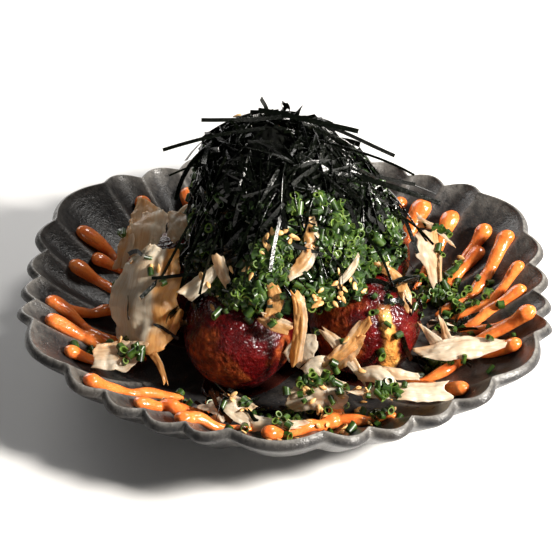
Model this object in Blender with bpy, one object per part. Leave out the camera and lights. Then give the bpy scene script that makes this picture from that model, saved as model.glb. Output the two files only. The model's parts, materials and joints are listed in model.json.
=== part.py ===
"""Takoyaki: octopus dumplings heaped with nori, chives and bonito flakes on a fluted stoneware plate."""
import math

import bmesh
import bpy
from mathutils import Matrix, Vector, noise

# ---------------------------------------------------------------- driving dimensions (metres)
GAP = 0.0003                      # clearance between pieces that rest on each other

# Plate: a hexagon whose rim runs in 30 scallops, four along each side and a wide one at each corner.
SIDES = 6
CUSP_DISTANCE = 0.094             # plate centre to the middle cusp of a side, along the inner rim line
CUSP_PITCH = 0.0171               # distance between two cusps of a side
SIDE_BOW = 0.0018                 # how far a side's end cusps lie inside its middle cusp
SIDE_SCALLOP = 0.0046             # how far a side scallop bulges past its two cusps
CORNER_SCALLOP = 0.0064
RIM_HEIGHT = 0.0300               # inner rim line above the table, at the middle of a side
CORNER_RISE = 0.0042              # how much higher the rim stands at a corner
LIP_THICKNESS = 0.0027
FLOOR_TOP = 0.0075                # eating surface above the table
FLOOR_FRACTION = 0.45             # flat floor, as a fraction of the way from the centre to the rim
FOOT_RADIUS = 0.056
FOOT_WIDTH = 0.006
FOOT_HEIGHT = 0.003
SIDE_SCALLOP_STEPS = 3
CORNER_SCALLOP_STEPS = 5

# Dumplings: name -> centre x, centre y, radius; five stand in a ring and one sits on top of them.
BALL_RADIUS = 0.0210
RING_BALLS = {
    "ball_front_left": (-0.0168, -0.0326, 0.0212),
    "ball_front_right": (0.0307, -0.0219, 0.0214),
    "ball_left": (-0.0436, 0.0030, 0.0204),
    "ball_back": (-0.0160, 0.0395, 0.0207),
    "ball_right": (0.0280, 0.0250, 0.0209),
}
TOP_BALL_CENTRE = (0.0035, 0.0005, 0.0580)
BALL_UNEVEN = 0.045               # bumps, as a fraction of the radius
BALL_SQUASH = 0.95                # height over width
BALL_SEGMENTS = 18
BALL_RINGS = 11

# Heap of cut chives over the dumplings, and the haystack of shredded nori on it.
HEAP_CENTRE = (0.0010, -0.0010)
HEAP_BASE = 0.0440
CHIVE_TOP = 0.0850
CHIVE_RADIUS = 0.0430
NORI_TOP = 0.1040
NORI_RADIUS = 0.0420
NORI_PEAK_SHIFT = (-0.0080, 0.0080)
HEAP_SEGMENTS = 28
CHIVE_RINGS = 6
NORI_RINGS = 6
NORI_EDGE = 0.0022                # thickness of the nori heap at its rim
NORI_LIFT = 0.0010                # room between the chives and the nori, which only rests on their tips

# Piped spicy mayonnaise: tips are angle (degrees, from +X) and distance from the plate centre.
MAYO_RADIUS = 0.0020
MAYO_LIFT = 0.0010                # kept from the plate, whose flat facets stand a little proud of its curve
MAYO_LEFT = [(121, 0.082), (134, 0.086), (146, 0.078), (156, 0.088), (169, 0.083), (188, 0.088),
             (197, 0.088), (208, 0.086), (224, 0.090), (234, 0.084), (246, 0.082)]
MAYO_RIGHT = [(-44, 0.084), (-33, 0.078), (-22, 0.088), (-11, 0.090), (3, 0.086), (13, 0.089),
              (24, 0.089), (34, 0.087), (46, 0.084), (57, 0.080),
              (69, 0.083)]
MAYO_INNER = 0.062
MAYO_FRONT = [(-91, 0.079), (-83, 0.073), (-74, 0.070), (-66, 0.073), (-58, 0.079)]

FLAKE_THICKNESS = 0.0005


# ---------------------------------------------------------------- scene helpers
def clear_scene():
    for obj in list(bpy.data.objects):
        bpy.data.objects.remove(obj)


def material(name, colour, roughness, metallic=0.0):
    mat = bpy.data.materials.new(name)
    mat.use_nodes = True
    shader = mat.node_tree.nodes["Principled BSDF"]
    shader.inputs["Base Color"].default_value = (*colour, 1.0)
    shader.inputs["Roughness"].default_value = roughness
    shader.inputs["Metallic"].default_value = metallic
    return mat


def add_object(name, bm, mat, smooth=True):
    bmesh.ops.recalc_face_normals(bm, faces=bm.faces[:])
    mesh = bpy.data.meshes.new(name)
    bm.to_mesh(mesh)
    bm.free()
    if smooth:
        mesh.shade_smooth()
    obj = bpy.data.objects.new(name, mesh)
    bpy.context.scene.collection.objects.link(obj)
    obj.data.materials.append(mat)
    return obj


def bridge_rings(bm, first, second):
    """Quads between two closed rings of the same number of vertices."""
    count = len(first)
    for i in range(count):
        j = (i + 1) % count
        bm.faces.new((first[i], first[j], second[j], second[i]))


def wobble(x, y, z, scale, seed):
    """Smooth unevenness between about -1 and 1."""
    return noise.noise(Vector((x / scale + seed, y / scale - seed, z / scale + 3 * seed)))


# ---------------------------------------------------------------- plate
def cusps():
    """The points where two scallops meet, anticlockwise, as (x, y, z)."""
    points = []
    for side in range(SIDES):
        angle = side * math.tau / SIDES
        normal = Vector((math.cos(angle), math.sin(angle), 0))
        along = Vector((-normal.y, normal.x, 0))
        for step in range(-2, 3):
            ease = step * step / 4
            point = normal * (CUSP_DISTANCE - SIDE_BOW * ease) + along * (step * CUSP_PITCH)
            points.append(point + Vector((0, 0, RIM_HEIGHT + CORNER_RISE * ease)))
    return points


def rim_line():
    """The inner rim: an arc between each two cusps, bulging outwards."""
    line = []
    corners = cusps()
    for index, start in enumerate(corners):
        end = corners[(index + 1) % len(corners)]
        at_corner = index % 5 == 4
        steps = CORNER_SCALLOP_STEPS if at_corner else SIDE_SCALLOP_STEPS
        bulge = CORNER_SCALLOP if at_corner else SIDE_SCALLOP
        chord = end - start
        outward = Vector((chord.y, -chord.x, 0)).normalized()
        for step in range(steps):
            t = step / steps
            line.append(start + chord * t + outward * bulge * 4 * t * (1 - t))
    return line


def rim_radius(angle, line):
    """Distance from the plate centre to the rim line in a direction."""
    direction = Vector((math.cos(angle), math.sin(angle)))
    for index, point in enumerate(line):
        following = line[(index + 1) % len(line)]
        side_a = direction.x * point.y - direction.y * point.x
        side_b = direction.x * following.y - direction.y * following.x
        if side_a <= 0 < side_b and direction.dot(point.xy) > 0:
            t = -side_a / (side_b - side_a)
            hit = point.lerp(following, t)
            return hit.xy.length, hit.z
    return CUSP_DISTANCE, RIM_HEIGHT


def inner_height(fraction, rim_z):
    rise = max(0.0, (fraction - FLOOR_FRACTION) / (1 - FLOOR_FRACTION))
    return FLOOR_TOP + (rim_z - FLOOR_TOP) * rise * rise


def surface_height(x, y, line):
    """Height of the plate's eating surface at a place."""
    radius, rim_z = rim_radius(math.atan2(y, x), line)
    return inner_height(min(1.0, math.hypot(x, y) / radius), rim_z)


def resting_height(x, y, radius, line):
    """Height at which a ball of this radius rests on the plate's surface."""
    best = surface_height(x, y, line) + radius
    for step in range(8):
        angle = step * math.tau / 8
        for share in (0.45, 0.8):
            reach = radius * share
            lift = math.sqrt(radius * radius - reach * reach)
            height = surface_height(x + reach * math.cos(angle), y + reach * math.sin(angle), line)
            best = max(best, height + lift)
    return best + MAYO_LIFT


def build_plate(mat):
    line = rim_line()
    bm = bmesh.new()

    def ring(fraction, height, outset=0.0, roundness=0.0, radius=0.0):
        """One ring of vertices: the rim line scaled, pushed out, and drawn towards a circle."""
        verts = []
        for point in line:
            direction = Vector((point.x, point.y, 0)).normalized()
            reach = math.hypot(point.x, point.y) * fraction + outset
            reach = reach * (1 - roundness) + radius * roundness
            verts.append(bm.verts.new(direction * reach + Vector((0, 0, height(point)))))
        return verts

    rings = []
    for fraction in (FLOOR_FRACTION * 0.5, FLOOR_FRACTION, 0.60, 0.74, 0.88, 1.0):
        rings.append(ring(fraction, lambda p, f=fraction: inner_height(f, p.z)))
    rings.append(ring(1.0, lambda p: p.z + 0.0006, LIP_THICKNESS * 0.45))
    rings.append(ring(1.0, lambda p: p.z - 0.0014, LIP_THICKNESS))
    rings.append(ring(0.985, lambda p: p.z - 0.0046, LIP_THICKNESS))
    rings.append(ring(0.84, lambda p: p.z * 0.50, LIP_THICKNESS))
    rings.append(ring(0.0, lambda p: FOOT_HEIGHT, 0.0, 1.0, FOOT_RADIUS + 0.0015))
    rings.append(ring(0.0, lambda p: 0.0, 0.0, 1.0, FOOT_RADIUS))
    rings.append(ring(0.0, lambda p: 0.0, 0.0, 1.0, FOOT_RADIUS - FOOT_WIDTH))
    rings.append(ring(0.0, lambda p: FOOT_HEIGHT, 0.0, 1.0, FOOT_RADIUS - FOOT_WIDTH - 0.001))
    for first, second in zip(rings, rings[1:]):
        bridge_rings(bm, first, second)
    centre_top = bm.verts.new((0, 0, FLOOR_TOP))
    centre_bottom = bm.verts.new((0, 0, FOOT_HEIGHT))
    count = len(line)
    for i in range(count):
        j = (i + 1) % count
        bm.faces.new((centre_top, rings[0][i], rings[0][j]))
        bm.faces.new((centre_bottom, rings[-1][j], rings[-1][i]))
    return add_object("plate", bm, mat)


# ---------------------------------------------------------------- dumplings
def ball_points(radius, seed):
    """A lumpy, slightly flattened ball about the origin, as rings of points from bottom to top."""
    rings = []
    for ring in range(BALL_RINGS + 1):
        latitude = -math.pi / 2 + math.pi * ring / BALL_RINGS
        points = []
        segments = 1 if ring in (0, BALL_RINGS) else BALL_SEGMENTS
        for segment in range(segments):
            angle = math.tau * segment / BALL_SEGMENTS
            direction = Vector((math.cos(latitude) * math.cos(angle),
                                math.cos(latitude) * math.sin(angle), math.sin(latitude)))
            reach = radius * (1 + BALL_UNEVEN * wobble(*direction, 0.8, seed))
            points.append(Vector((direction.x, direction.y, direction.z * BALL_SQUASH)) * reach)
        rings.append(points)
    return rings


def build_ball(name, centre, radius, seed, mat, grown=0.0):
    bm = bmesh.new()
    rings = [[bm.verts.new(p + p.normalized() * grown) for p in ring]
             for ring in ball_points(radius, seed)]
    for first, second in zip(rings[1:], rings[2:-1]):
        bridge_rings(bm, first, second)
    for i in range(BALL_SEGMENTS):
        j = (i + 1) % BALL_SEGMENTS
        bm.faces.new((rings[0][0], rings[1][j], rings[1][i]))
        bm.faces.new((rings[-1][0], rings[-2][i], rings[-2][j]))
    obj = add_object(name, bm, mat)
    obj.location = centre
    return obj


def ball_places():
    """Name, centre, radius and seed of each dumpling; the ring balls stand on the plate's floor."""
    places = []
    for seed, (name, (x, y, radius)) in enumerate(RING_BALLS.items(), start=1):
        lowest = min(p.z for ring in ball_points(radius, seed) for p in ring)
        places.append((name, (x, y, FLOOR_TOP + GAP - lowest), radius, seed))
    places.append(("ball_top", TOP_BALL_CENTRE, BALL_RADIUS, len(places) + 1))
    return places


# ---------------------------------------------------------------- heap of chives and nori
def heap_reach(angle, radius, front_cut):
    """Uneven outline of a heap; front_cut pulls the side facing the front inwards."""
    facing = max(0.0, math.cos(angle + math.pi / 2)) ** 2
    uneven = 0.06 * math.sin(3 * angle + 0.7) + 0.04 * math.sin(7 * angle + 2.1)
    return radius * (1 + uneven - front_cut * facing)


def chive_height(x, y):
    """Top of the chive heap at a place inside its outline."""
    dx, dy = x - HEAP_CENTRE[0], y - HEAP_CENTRE[1]
    share = math.hypot(dx, dy) / heap_reach(math.atan2(dy, dx), CHIVE_RADIUS, 0.0)
    fall = (CHIVE_TOP - HEAP_BASE - 0.003) * min(1.0, share) ** 1.9
    return CHIVE_TOP - fall + 0.0022 * wobble(x, y, 0, 0.012, 5)


def heap_rings(bm, radius, front_cut, ring_count, height):
    rings = []
    for ring in range(1, ring_count + 1):
        verts = []
        for segment in range(HEAP_SEGMENTS):
            angle = math.tau * segment / HEAP_SEGMENTS
            reach = heap_reach(angle, radius, front_cut) * ring / ring_count
            x = HEAP_CENTRE[0] + reach * math.cos(angle)
            y = HEAP_CENTRE[1] + reach * math.sin(angle)
            verts.append(bm.verts.new((x, y, height(x, y, ring / ring_count))))
        rings.append(verts)
    return rings


def heap_solid(name, radius, front_cut, ring_count, top, bottom, mat):
    """A closed solid between two height functions over the heap's outline."""
    bm = bmesh.new()
    upper = heap_rings(bm, radius, front_cut, ring_count, top)
    lower = heap_rings(bm, radius, front_cut, ring_count, bottom)
    for rings, height in ((upper, top), (lower, bottom)):
        centre = bm.verts.new((*HEAP_CENTRE, height(*HEAP_CENTRE, 0.0)))
        for i in range(HEAP_SEGMENTS):
            bm.faces.new((centre, rings[0][i], rings[0][(i + 1) % HEAP_SEGMENTS]))
        for first, second in zip(rings, rings[1:]):
            bridge_rings(bm, first, second)
    bridge_rings(bm, upper[-1], lower[-1])
    return add_object(name, bm, mat)


def build_chive_heap(mat):
    heap = heap_solid("chive_heap", CHIVE_RADIUS, 0.0, CHIVE_RINGS,
                      lambda x, y, share: chive_height(x, y),
                      lambda x, y, share: HEAP_BASE, mat)
    for name, centre, radius, seed in ball_places():
        cutter = build_ball("cutter_" + name, centre, radius, seed, mat, grown=0.0004)
        cutter.hide_render = True
        cutter.display_type = "WIRE"
        cut = heap.modifiers.new("seat_" + name, "BOOLEAN")
        cut.operation = "DIFFERENCE"
        cut.solver = "EXACT"
        cut.object = cutter
    return heap


def nori_height(x, y, share):
    """Haystack over the chives, thin at its edge, with its peak behind and left of the middle."""
    from_peak = math.hypot(x - HEAP_CENTRE[0] - NORI_PEAK_SHIFT[0], y - HEAP_CENTRE[1] - NORI_PEAK_SHIFT[1])
    cone = NORI_TOP - 0.78 * from_peak + 0.0030 * wobble(x, y, 0, 0.010, 9)
    floor = chive_height(x, y) + NORI_LIFT + NORI_EDGE
    return max(floor, cone) if share < 1 else floor


def build_nori_heap(mat):
    return heap_solid("nori_heap", NORI_RADIUS * 0.96, 0.45, NORI_RINGS, nori_height,
                      lambda x, y, share: chive_height(x, y) + NORI_LIFT, mat)


# ---------------------------------------------------------------- piped mayonnaise
def polar(angle, radius):
    return Vector((radius * math.cos(math.radians(angle)), radius * math.sin(math.radians(angle)), 0))


def zigzag(tips, inner):
    """Waypoints of a zigzag: out to each tip and back to a turn half-way between two tips."""
    points = [polar(tips[0][0], inner)]
    for index, (angle, radius) in enumerate(tips):
        points.append(polar(angle, radius))
        if index + 1 < len(tips):
            points.append(polar((angle + tips[index + 1][0]) / 2, inner))
    points.append(polar(tips[-1][0], inner))
    return points


def rounded_path(points, corner=0.0022):
    """The waypoints with each turn cut off by two points, and the longer runs halved."""
    path = [points[0]]
    for before, point, after in zip(points, points[1:], points[2:]):
        back = (before - point).normalized() * corner
        on = (after - point).normalized() * corner
        path += [point + back, point + on]
    path.append(points[-1])
    halved = [path[0]]
    for start, end in zip(path, path[1:]):
        if (end - start).length > 3 * corner:
            halved.append((start + end) / 2)
        halved.append(end)
    return halved


def build_mayo(name, points, line, mat):
    curve = bpy.data.curves.new(name, "CURVE")
    curve.dimensions = "3D"
    curve.bevel_depth = MAYO_RADIUS
    curve.bevel_resolution = 1
    curve.use_fill_caps = True
    path = rounded_path(points)
    spline = curve.splines.new("POLY")
    spline.points.add(len(path) - 1)
    for knot, point in zip(spline.points, path):
        height = resting_height(point.x, point.y, MAYO_RADIUS * 1.12, line)
        knot.co = (point.x, point.y, height, 1.0)
    obj = bpy.data.objects.new(name, curve)
    bpy.context.scene.collection.objects.link(obj)
    curve.materials.append(mat)
    return obj


# ---------------------------------------------------------------- bonito flakes
# name: centre (m), long axis, facing, length, width (m), bend across the width, twist (degrees)
FLAKES = {
    "flake_left_large": ((-0.0548, -0.0246, 0.0402), (21, 18, 32), (-5, -7, 4), 0.040, 0.027, 62, 8),
    "flake_left_folded": ((-0.0550, 0.0400, 0.0280), (10, 2, 3), (0, -7, 7), 0.020, 0.018, 110, 20),
    "flake_left_flat": ((-0.0590, -0.0450, 0.0265), (10, 1, -1), (0, -4, 9), 0.022, 0.011, 30, 12),
    "flake_front_crumpled": ((-0.0185, -0.0660, 0.0225), (10, -1, 0), (0, -3, 9), 0.020, 0.011, 60, 30),
    "flake_front_folded": ((0.0140, -0.0585, 0.0205), (10, 1, 1), (0, -8, 6), 0.020, 0.012, 60, 10),
    "flake_front_long": ((0.0430, -0.0640, 0.0280), (10, 1, 0), (0, -3, 9), 0.038, 0.009, 25, 10),
    "flake_ball_front": ((0.0230, -0.0490, 0.0300), (7, 2, 7), (-2, -9, 3), 0.020, 0.010, 50, 20),
    "flake_right_large": ((0.0670, -0.0400, 0.0300), (10, 1, 1), (1, -4, 9), 0.034, 0.014, 45, 15),
    "flake_right_back": ((0.0560, 0.0120, 0.0350), (2, -1, 10), (6, -8, 2), 0.028, 0.011, 50, 15),
    "flake_back": ((0.0100, 0.0690, 0.0270), (10, 3, 2), (1, 6, 7), 0.028, 0.014, 60, 15),
    "flake_back_right": ((0.0580, 0.0430, 0.0290), (6, -8, 2), (7, 5, 7), 0.024, 0.012, 50, 20),
    "flake_heap_front": ((0.0070, -0.0500, 0.0430), (-1, 4, 9), (1, -9, 4), 0.032, 0.008, 50, 25),
}
FLAKE_CELLS_ALONG = 5
FLAKE_CELLS_ACROSS = 4


def flake_surface(u, v, length, width, bend, twist):
    """A point of a shaving that lies along X, is bent across its width and twisted along its length."""
    arc = math.radians(bend) * (v - 0.5)
    reach = width / math.radians(bend)
    taper = 0.62 + 0.38 * math.sin(math.pi * (0.12 + 0.8 * u))
    ragged = 1 + 0.12 * math.sin(9.0 * v + length * 900)
    across = Vector((0, reach * math.sin(arc) * taper, reach * (math.cos(arc) - 1)))
    turned = Matrix.Rotation(math.radians(twist) * (u - 0.5), 3, "X") @ across
    return Vector(((u - 0.5) * length * ragged, 0, 0)) + turned


def build_flake(name, centre, axis, facing, length, width, bend, twist, mat):
    """A flake as a closed sheet; facing is the direction its bulging side looks."""
    along = Vector(axis).normalized()
    side = Vector(facing).cross(along).normalized()
    turn = Matrix((along, side, along.cross(side))).transposed().to_4x4()
    place = Matrix.Translation(centre) @ turn
    step = 0.01
    bm = bmesh.new()
    layers = []
    for face in (1, -1):
        grid = []
        for i in range(FLAKE_CELLS_ALONG + 1):
            row = []
            for j in range(FLAKE_CELLS_ACROSS + 1):
                u, v = i / FLAKE_CELLS_ALONG, j / FLAKE_CELLS_ACROSS
                point = flake_surface(u, v, length, width, bend, twist)
                ahead = flake_surface(u + step, v, length, width, bend, twist) - point
                beside = flake_surface(u, v + step, length, width, bend, twist) - point
                offset = ahead.cross(beside).normalized() * face * FLAKE_THICKNESS / 2
                row.append(bm.verts.new(place @ (point + offset)))
            grid.append(row)
        layers.append(grid)
    for grid in layers:
        for i in range(FLAKE_CELLS_ALONG):
            for j in range(FLAKE_CELLS_ACROSS):
                bm.faces.new((grid[i][j], grid[i + 1][j], grid[i + 1][j + 1], grid[i][j + 1]))
    last_u, last_v = FLAKE_CELLS_ALONG, FLAKE_CELLS_ACROSS
    edge = ([(i, 0) for i in range(last_u)] + [(last_u, j) for j in range(last_v)]
            + [(i, last_v) for i in range(last_u, 0, -1)] + [(0, j) for j in range(last_v, 0, -1)])
    rims = [[grid[i][j] for i, j in edge] for grid in layers]
    bridge_rings(bm, rims[0], rims[1])
    return add_object(name, bm, mat)


# ---------------------------------------------------------------- assembly
def build():
    clear_scene()
    glaze = material("charcoal_glaze", (0.055, 0.055, 0.058), 0.32, 0.1)
    crust = material("browned_dumpling", (0.30, 0.035, 0.018), 0.22)
    green = material("cut_chives", (0.030, 0.14, 0.018), 0.45)
    black = material("shredded_nori", (0.010, 0.014, 0.009), 0.35)
    cream = material("bonito_flake", (0.62, 0.42, 0.24), 0.50)
    orange = material("spicy_mayonnaise", (0.72, 0.20, 0.05), 0.28)

    build_plate(glaze)
    for name, centre, radius, seed in ball_places():
        build_ball(name, centre, radius, seed, crust)
    build_chive_heap(green)
    build_nori_heap(black)
    line = rim_line()
    build_mayo("mayo_left", zigzag(MAYO_LEFT, MAYO_INNER), line, orange)
    build_mayo("mayo_right", zigzag(MAYO_RIGHT, MAYO_INNER), line, orange)
    build_mayo("mayo_front", [polar(a, r) for a, r in MAYO_FRONT], line, orange)
    for name, shape in FLAKES.items():
        build_flake(name, *shape, cream)


build()
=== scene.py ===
import json
import math
import random

import bmesh
import bpy
import numpy as np
from mathutils import Matrix, Vector, noise
from mathutils.bvhtree import BVHTree

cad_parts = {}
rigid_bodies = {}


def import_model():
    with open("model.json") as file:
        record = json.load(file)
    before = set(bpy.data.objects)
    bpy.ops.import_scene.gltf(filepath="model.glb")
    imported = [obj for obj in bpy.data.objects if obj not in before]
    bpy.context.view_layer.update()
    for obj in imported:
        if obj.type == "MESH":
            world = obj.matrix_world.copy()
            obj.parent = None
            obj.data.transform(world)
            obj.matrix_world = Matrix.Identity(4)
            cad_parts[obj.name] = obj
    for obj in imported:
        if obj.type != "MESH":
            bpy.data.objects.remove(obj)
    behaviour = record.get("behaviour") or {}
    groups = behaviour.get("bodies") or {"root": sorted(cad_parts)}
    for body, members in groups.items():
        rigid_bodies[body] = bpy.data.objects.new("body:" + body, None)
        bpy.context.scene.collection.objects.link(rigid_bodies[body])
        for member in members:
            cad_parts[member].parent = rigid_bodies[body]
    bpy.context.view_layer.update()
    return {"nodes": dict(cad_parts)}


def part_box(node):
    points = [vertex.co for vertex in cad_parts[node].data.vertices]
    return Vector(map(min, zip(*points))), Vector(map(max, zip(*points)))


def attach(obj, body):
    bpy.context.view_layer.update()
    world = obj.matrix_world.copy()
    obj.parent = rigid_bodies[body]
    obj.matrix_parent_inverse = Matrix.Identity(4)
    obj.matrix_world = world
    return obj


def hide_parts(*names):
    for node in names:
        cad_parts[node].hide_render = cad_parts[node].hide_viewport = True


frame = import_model()

# ---------------------------------------------------------------- view, table and light
# The dish stands on a pale table top. It is seen from the front, a third of the way up to overhead.
# The key lamp stands at its right, with broad, weaker lamps behind it, over it and in front of it.
plate_low, plate_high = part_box("plate")
RIM_HEIGHT = 0.0300
view_azimuth, view_elevation, view_roll = (math.radians(a) for a in (1.68, 33.94, 0.63))
toward_camera = Vector((math.sin(view_azimuth) * math.cos(view_elevation),
                        -math.cos(view_azimuth) * math.cos(view_elevation),
                        math.sin(view_elevation)))
level_right = Vector((0, 0, 1)).cross(toward_camera).normalized()
view_up = toward_camera.cross(level_right)
view_right = level_right * math.cos(view_roll) + view_up * math.sin(view_roll)
view_up = toward_camera.cross(view_right)
rim_centre = Vector((0, 0, RIM_HEIGHT))
CAMERA_DISTANCE, AIM_LEFT, AIM_UP = 0.8384, 0.0024, 0.0011
camera_place = rim_centre + toward_camera * CAMERA_DISTANCE
aim = rim_centre - view_right * AIM_LEFT + view_up * AIM_UP

camera_data = bpy.data.cameras.new("camera")
camera_data.lens = 140.6
camera_data.sensor_width = 36.0
camera_data.clip_start = 0.01
camera = bpy.data.objects.new("camera", camera_data)
back = (camera_place - aim).normalized()
side = view_up.cross(back).normalized()
camera.matrix_world = Matrix.Translation(camera_place) @ Matrix((side, back.cross(side),
                                                                 back)).transposed().to_4x4()
bpy.context.scene.collection.objects.link(camera)
bpy.context.scene.camera = camera


def studio_lamp(name, place, target, size, power, colour):
    """A square softbox at a place, turned to its target."""
    data = bpy.data.lights.new(name, "AREA")
    data.shape = "SQUARE"
    data.size = size
    data.energy = power
    data.color = colour
    lamp = bpy.data.objects.new(name, data)
    lamp.location = place
    lamp.rotation_euler = (Vector(target) - Vector(place)).to_track_quat("-Z", "Y").to_euler()
    bpy.context.scene.collection.objects.link(lamp)


studio_lamp("back_softbox", (-0.40, 0.66, 0.32), (0, 0, 0.04), 0.45, 2.6, (1.0, 0.98, 0.95))
studio_lamp("key_lamp", (0.54, -0.24, 0.40), (0, 0, 0.03), 0.12, 14.5, (1.0, 0.95, 0.88))
studio_lamp("top_lamp", (0.28, 0.30, 0.66), (0, 0, 0.03), 0.20, 2.4, (1.0, 0.97, 0.93))
studio_lamp("front_lamp", (-0.20, -0.72, 0.34), (0, 0, 0.03), 0.20, 0.4, (1.0, 0.95, 0.88))

world = bpy.data.worlds.new("studio")
world.use_nodes = True
world.node_tree.nodes["Background"].inputs["Color"].default_value = (0.92, 0.95, 1.0, 1)
world.node_tree.nodes["Background"].inputs["Strength"].default_value = 0.05
bpy.context.scene.world = world
bpy.context.scene.view_settings.view_transform = "Standard"


def new_material(name):
    """A material with its node tree and its Principled shader."""
    mat = bpy.data.materials.new(name)
    mat.use_nodes = True
    return mat, mat.node_tree, mat.node_tree.nodes["Principled BSDF"]


def set_inputs(tree, node, inputs):
    """Gives a node's inputs, by name or number, a value or the output socket that feeds them."""
    for key, value in inputs.items():
        socket = node.inputs[key]
        if isinstance(value, bpy.types.NodeSocket):
            tree.links.new(value, socket)
        else:
            socket.default_value = value


def put(tree, kind, inputs=None, **settings):
    """Adds a node to a tree, with its settings and its inputs."""
    node = tree.nodes.new(kind)
    for key, value in settings.items():
        setattr(node, key, value)
    set_inputs(tree, node, inputs or {})
    return node


def noise_value(tree, scale, detail=3.0, rough=0.5):
    """Noise over the piece, scale in repeats per metre."""
    vector = put(tree, "ShaderNodeTexCoord").outputs["Object"]
    node = put(tree, "ShaderNodeTexNoise", {"Vector": vector, "Scale": scale, "Detail": detail,
                                            "Roughness": rough})
    return node.outputs["Fac"]


def ramp(tree, value, stops):
    """A colour or grey ramp; stops are (position, colour or grey)."""
    node = put(tree, "ShaderNodeValToRGB", {"Fac": value})
    elements = node.color_ramp.elements
    while len(elements) < len(stops):
        elements.new(0.5)
    for element, (position, colour) in zip(elements, stops):
        element.position = position
        element.color = (*colour, 1) if isinstance(colour, tuple) else (colour, colour, colour, 1)
    return node.outputs["Color"]


def add_piece(name, vertices, faces, mat, smooth=True):
    """A mesh object at the origin."""
    mesh = bpy.data.meshes.new(name)
    mesh.from_pydata([tuple(v) for v in vertices], [], faces)
    mesh.update()
    if smooth:
        mesh.shade_smooth()
    mesh.materials.append(mat)
    piece = bpy.data.objects.new(name, mesh)
    bpy.context.scene.collection.objects.link(piece)
    return piece


floor_mat, floor_tree, floor_shader = new_material("pale_table")
floor_tone = noise_value(floor_tree, 6.0, 2.0)
set_inputs(floor_tree, floor_shader, {
    "Base Color": ramp(floor_tree, floor_tone, [(0.3, (0.86, 0.86, 0.86)), (0.7, (0.89, 0.89, 0.89))]),
    "Roughness": 0.75})
FLOOR_HALF = 3.0
floor = add_piece("table_top", [(-FLOOR_HALF, -FLOOR_HALF, 0), (FLOOR_HALF, -FLOOR_HALF, 0),
                                (FLOOR_HALF, FLOOR_HALF, 0), (-FLOOR_HALF, FLOOR_HALF, 0)], [(0, 1, 2, 3)],
                  floor_mat, smooth=False)

# ---------------------------------------------------------------- plate
# A stoneware plate pressed over a mould: a hexagon with thirty scallops round its rim, whose flutes
# run down to a flat floor. Its charcoal glaze pulls thin and pale on the rim and on the ridges, and
# this pale lip line and ridge line is also painted highlight; its pale specks are partly painted glints.
PLATE_WIDTH = plate_high.x - plate_low.x
CUSP_DISTANCE = 0.4670 * PLATE_WIDTH
CUSP_PITCH, SIDE_BOW, CORNER_RISE = 0.0171, 0.0018, 0.0042
SIDE_SCALLOP, CORNER_SCALLOP = 0.0046, 0.0064
LIP, FLOOR_TOP, FLOOR_FRACTION = 0.0027, 0.0075, 0.45
FOOT_RADIUS, FOOT_WIDTH, FOOT_HEIGHT = 0.056, 0.006, 0.003
FLUTE_DEPTH = 0.0011
CUSP_ROUND = 0.10
LIP_CROWN, LIP_DROP = 0.0007, 0.0026  # how far the lip swells above the rim line and rolls down past it
TUCK_IN, TUCK_DOWN = 0.012, 0.0018  # the wall draws in under the lip: share of the rim line, and down
WALL_LEAN, KNEE = 0.150, 0.52  # the wall leans in by this share, down to this share of the rim height
UNDERSIDE_LEAN, FOOT_MEET = 0.06, 0.0042
INSIDE_ROWS, LIP_ROWS, WALL_ROWS = 36, 14, 10


def smooth_step(low, high, value):
    """0 at low, 1 at high, and an even curve between them."""
    t = min(1.0, max(0.0, (value - low) / (high - low)))
    return t * t * (3 - 2 * t)


def rim_line(side_steps, corner_steps):
    """The inner rim as points, with each point's distance from the nearest cusp."""
    cusps = []
    for number in range(6):
        angle = number * math.tau / 6
        normal = Vector((math.cos(angle), math.sin(angle), 0))
        along = Vector((-normal.y, normal.x, 0))
        for step in range(-2, 3):
            ease = step * step / 4
            place = normal * (CUSP_DISTANCE - SIDE_BOW * ease) + along * (step * CUSP_PITCH)
            cusps.append(place + Vector((0, 0, RIM_HEIGHT + CORNER_RISE * ease)))
    line, from_cusp, hollow = [], [], []
    for number, start in enumerate(cusps):
        end = cusps[(number + 1) % len(cusps)]
        corner = number % 5 == 4
        steps, bulge = (corner_steps, CORNER_SCALLOP) if corner else (side_steps, SIDE_SCALLOP)
        chord = end - start
        outward = Vector((chord.y, -chord.x, 0)).normalized()
        for step in range(steps):
            t = step / steps
            full = math.sqrt(4 * t * (1 - t) * 4 * t * (1 - t) + CUSP_ROUND ** 2) - CUSP_ROUND
            full /= math.sqrt(1 + CUSP_ROUND ** 2) - CUSP_ROUND
            line.append(start + chord * t + outward * bulge * full)
            from_cusp.append(min(t, 1 - t) * chord.length)
            hollow.append(math.sin(math.pi * t))
    return line, from_cusp, hollow


dense_line = rim_line(12, 20)[0]
rim_angles = np.array([math.atan2(p.y, p.x) for p in dense_line])
rim_order = np.argsort(rim_angles)
rim_angles = rim_angles[rim_order]
rim_radii = np.array([math.hypot(p.x, p.y) for p in dense_line])[rim_order]
rim_heights = np.array([p.z for p in dense_line])[rim_order]


def plate_height(x, y):
    """Height of the plate's eating surface at a place."""
    angle = np.arctan2(y, x)
    radius = np.interp(angle, rim_angles, rim_radii, period=math.tau)
    rim_z = np.interp(angle, rim_angles, rim_heights, period=math.tau)
    rise = np.clip((np.hypot(x, y) / radius - FLOOR_FRACTION) / (1 - FLOOR_FRACTION), 0, 1)
    return FLOOR_TOP + (rim_z - FLOOR_TOP) * rise * rise


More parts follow.
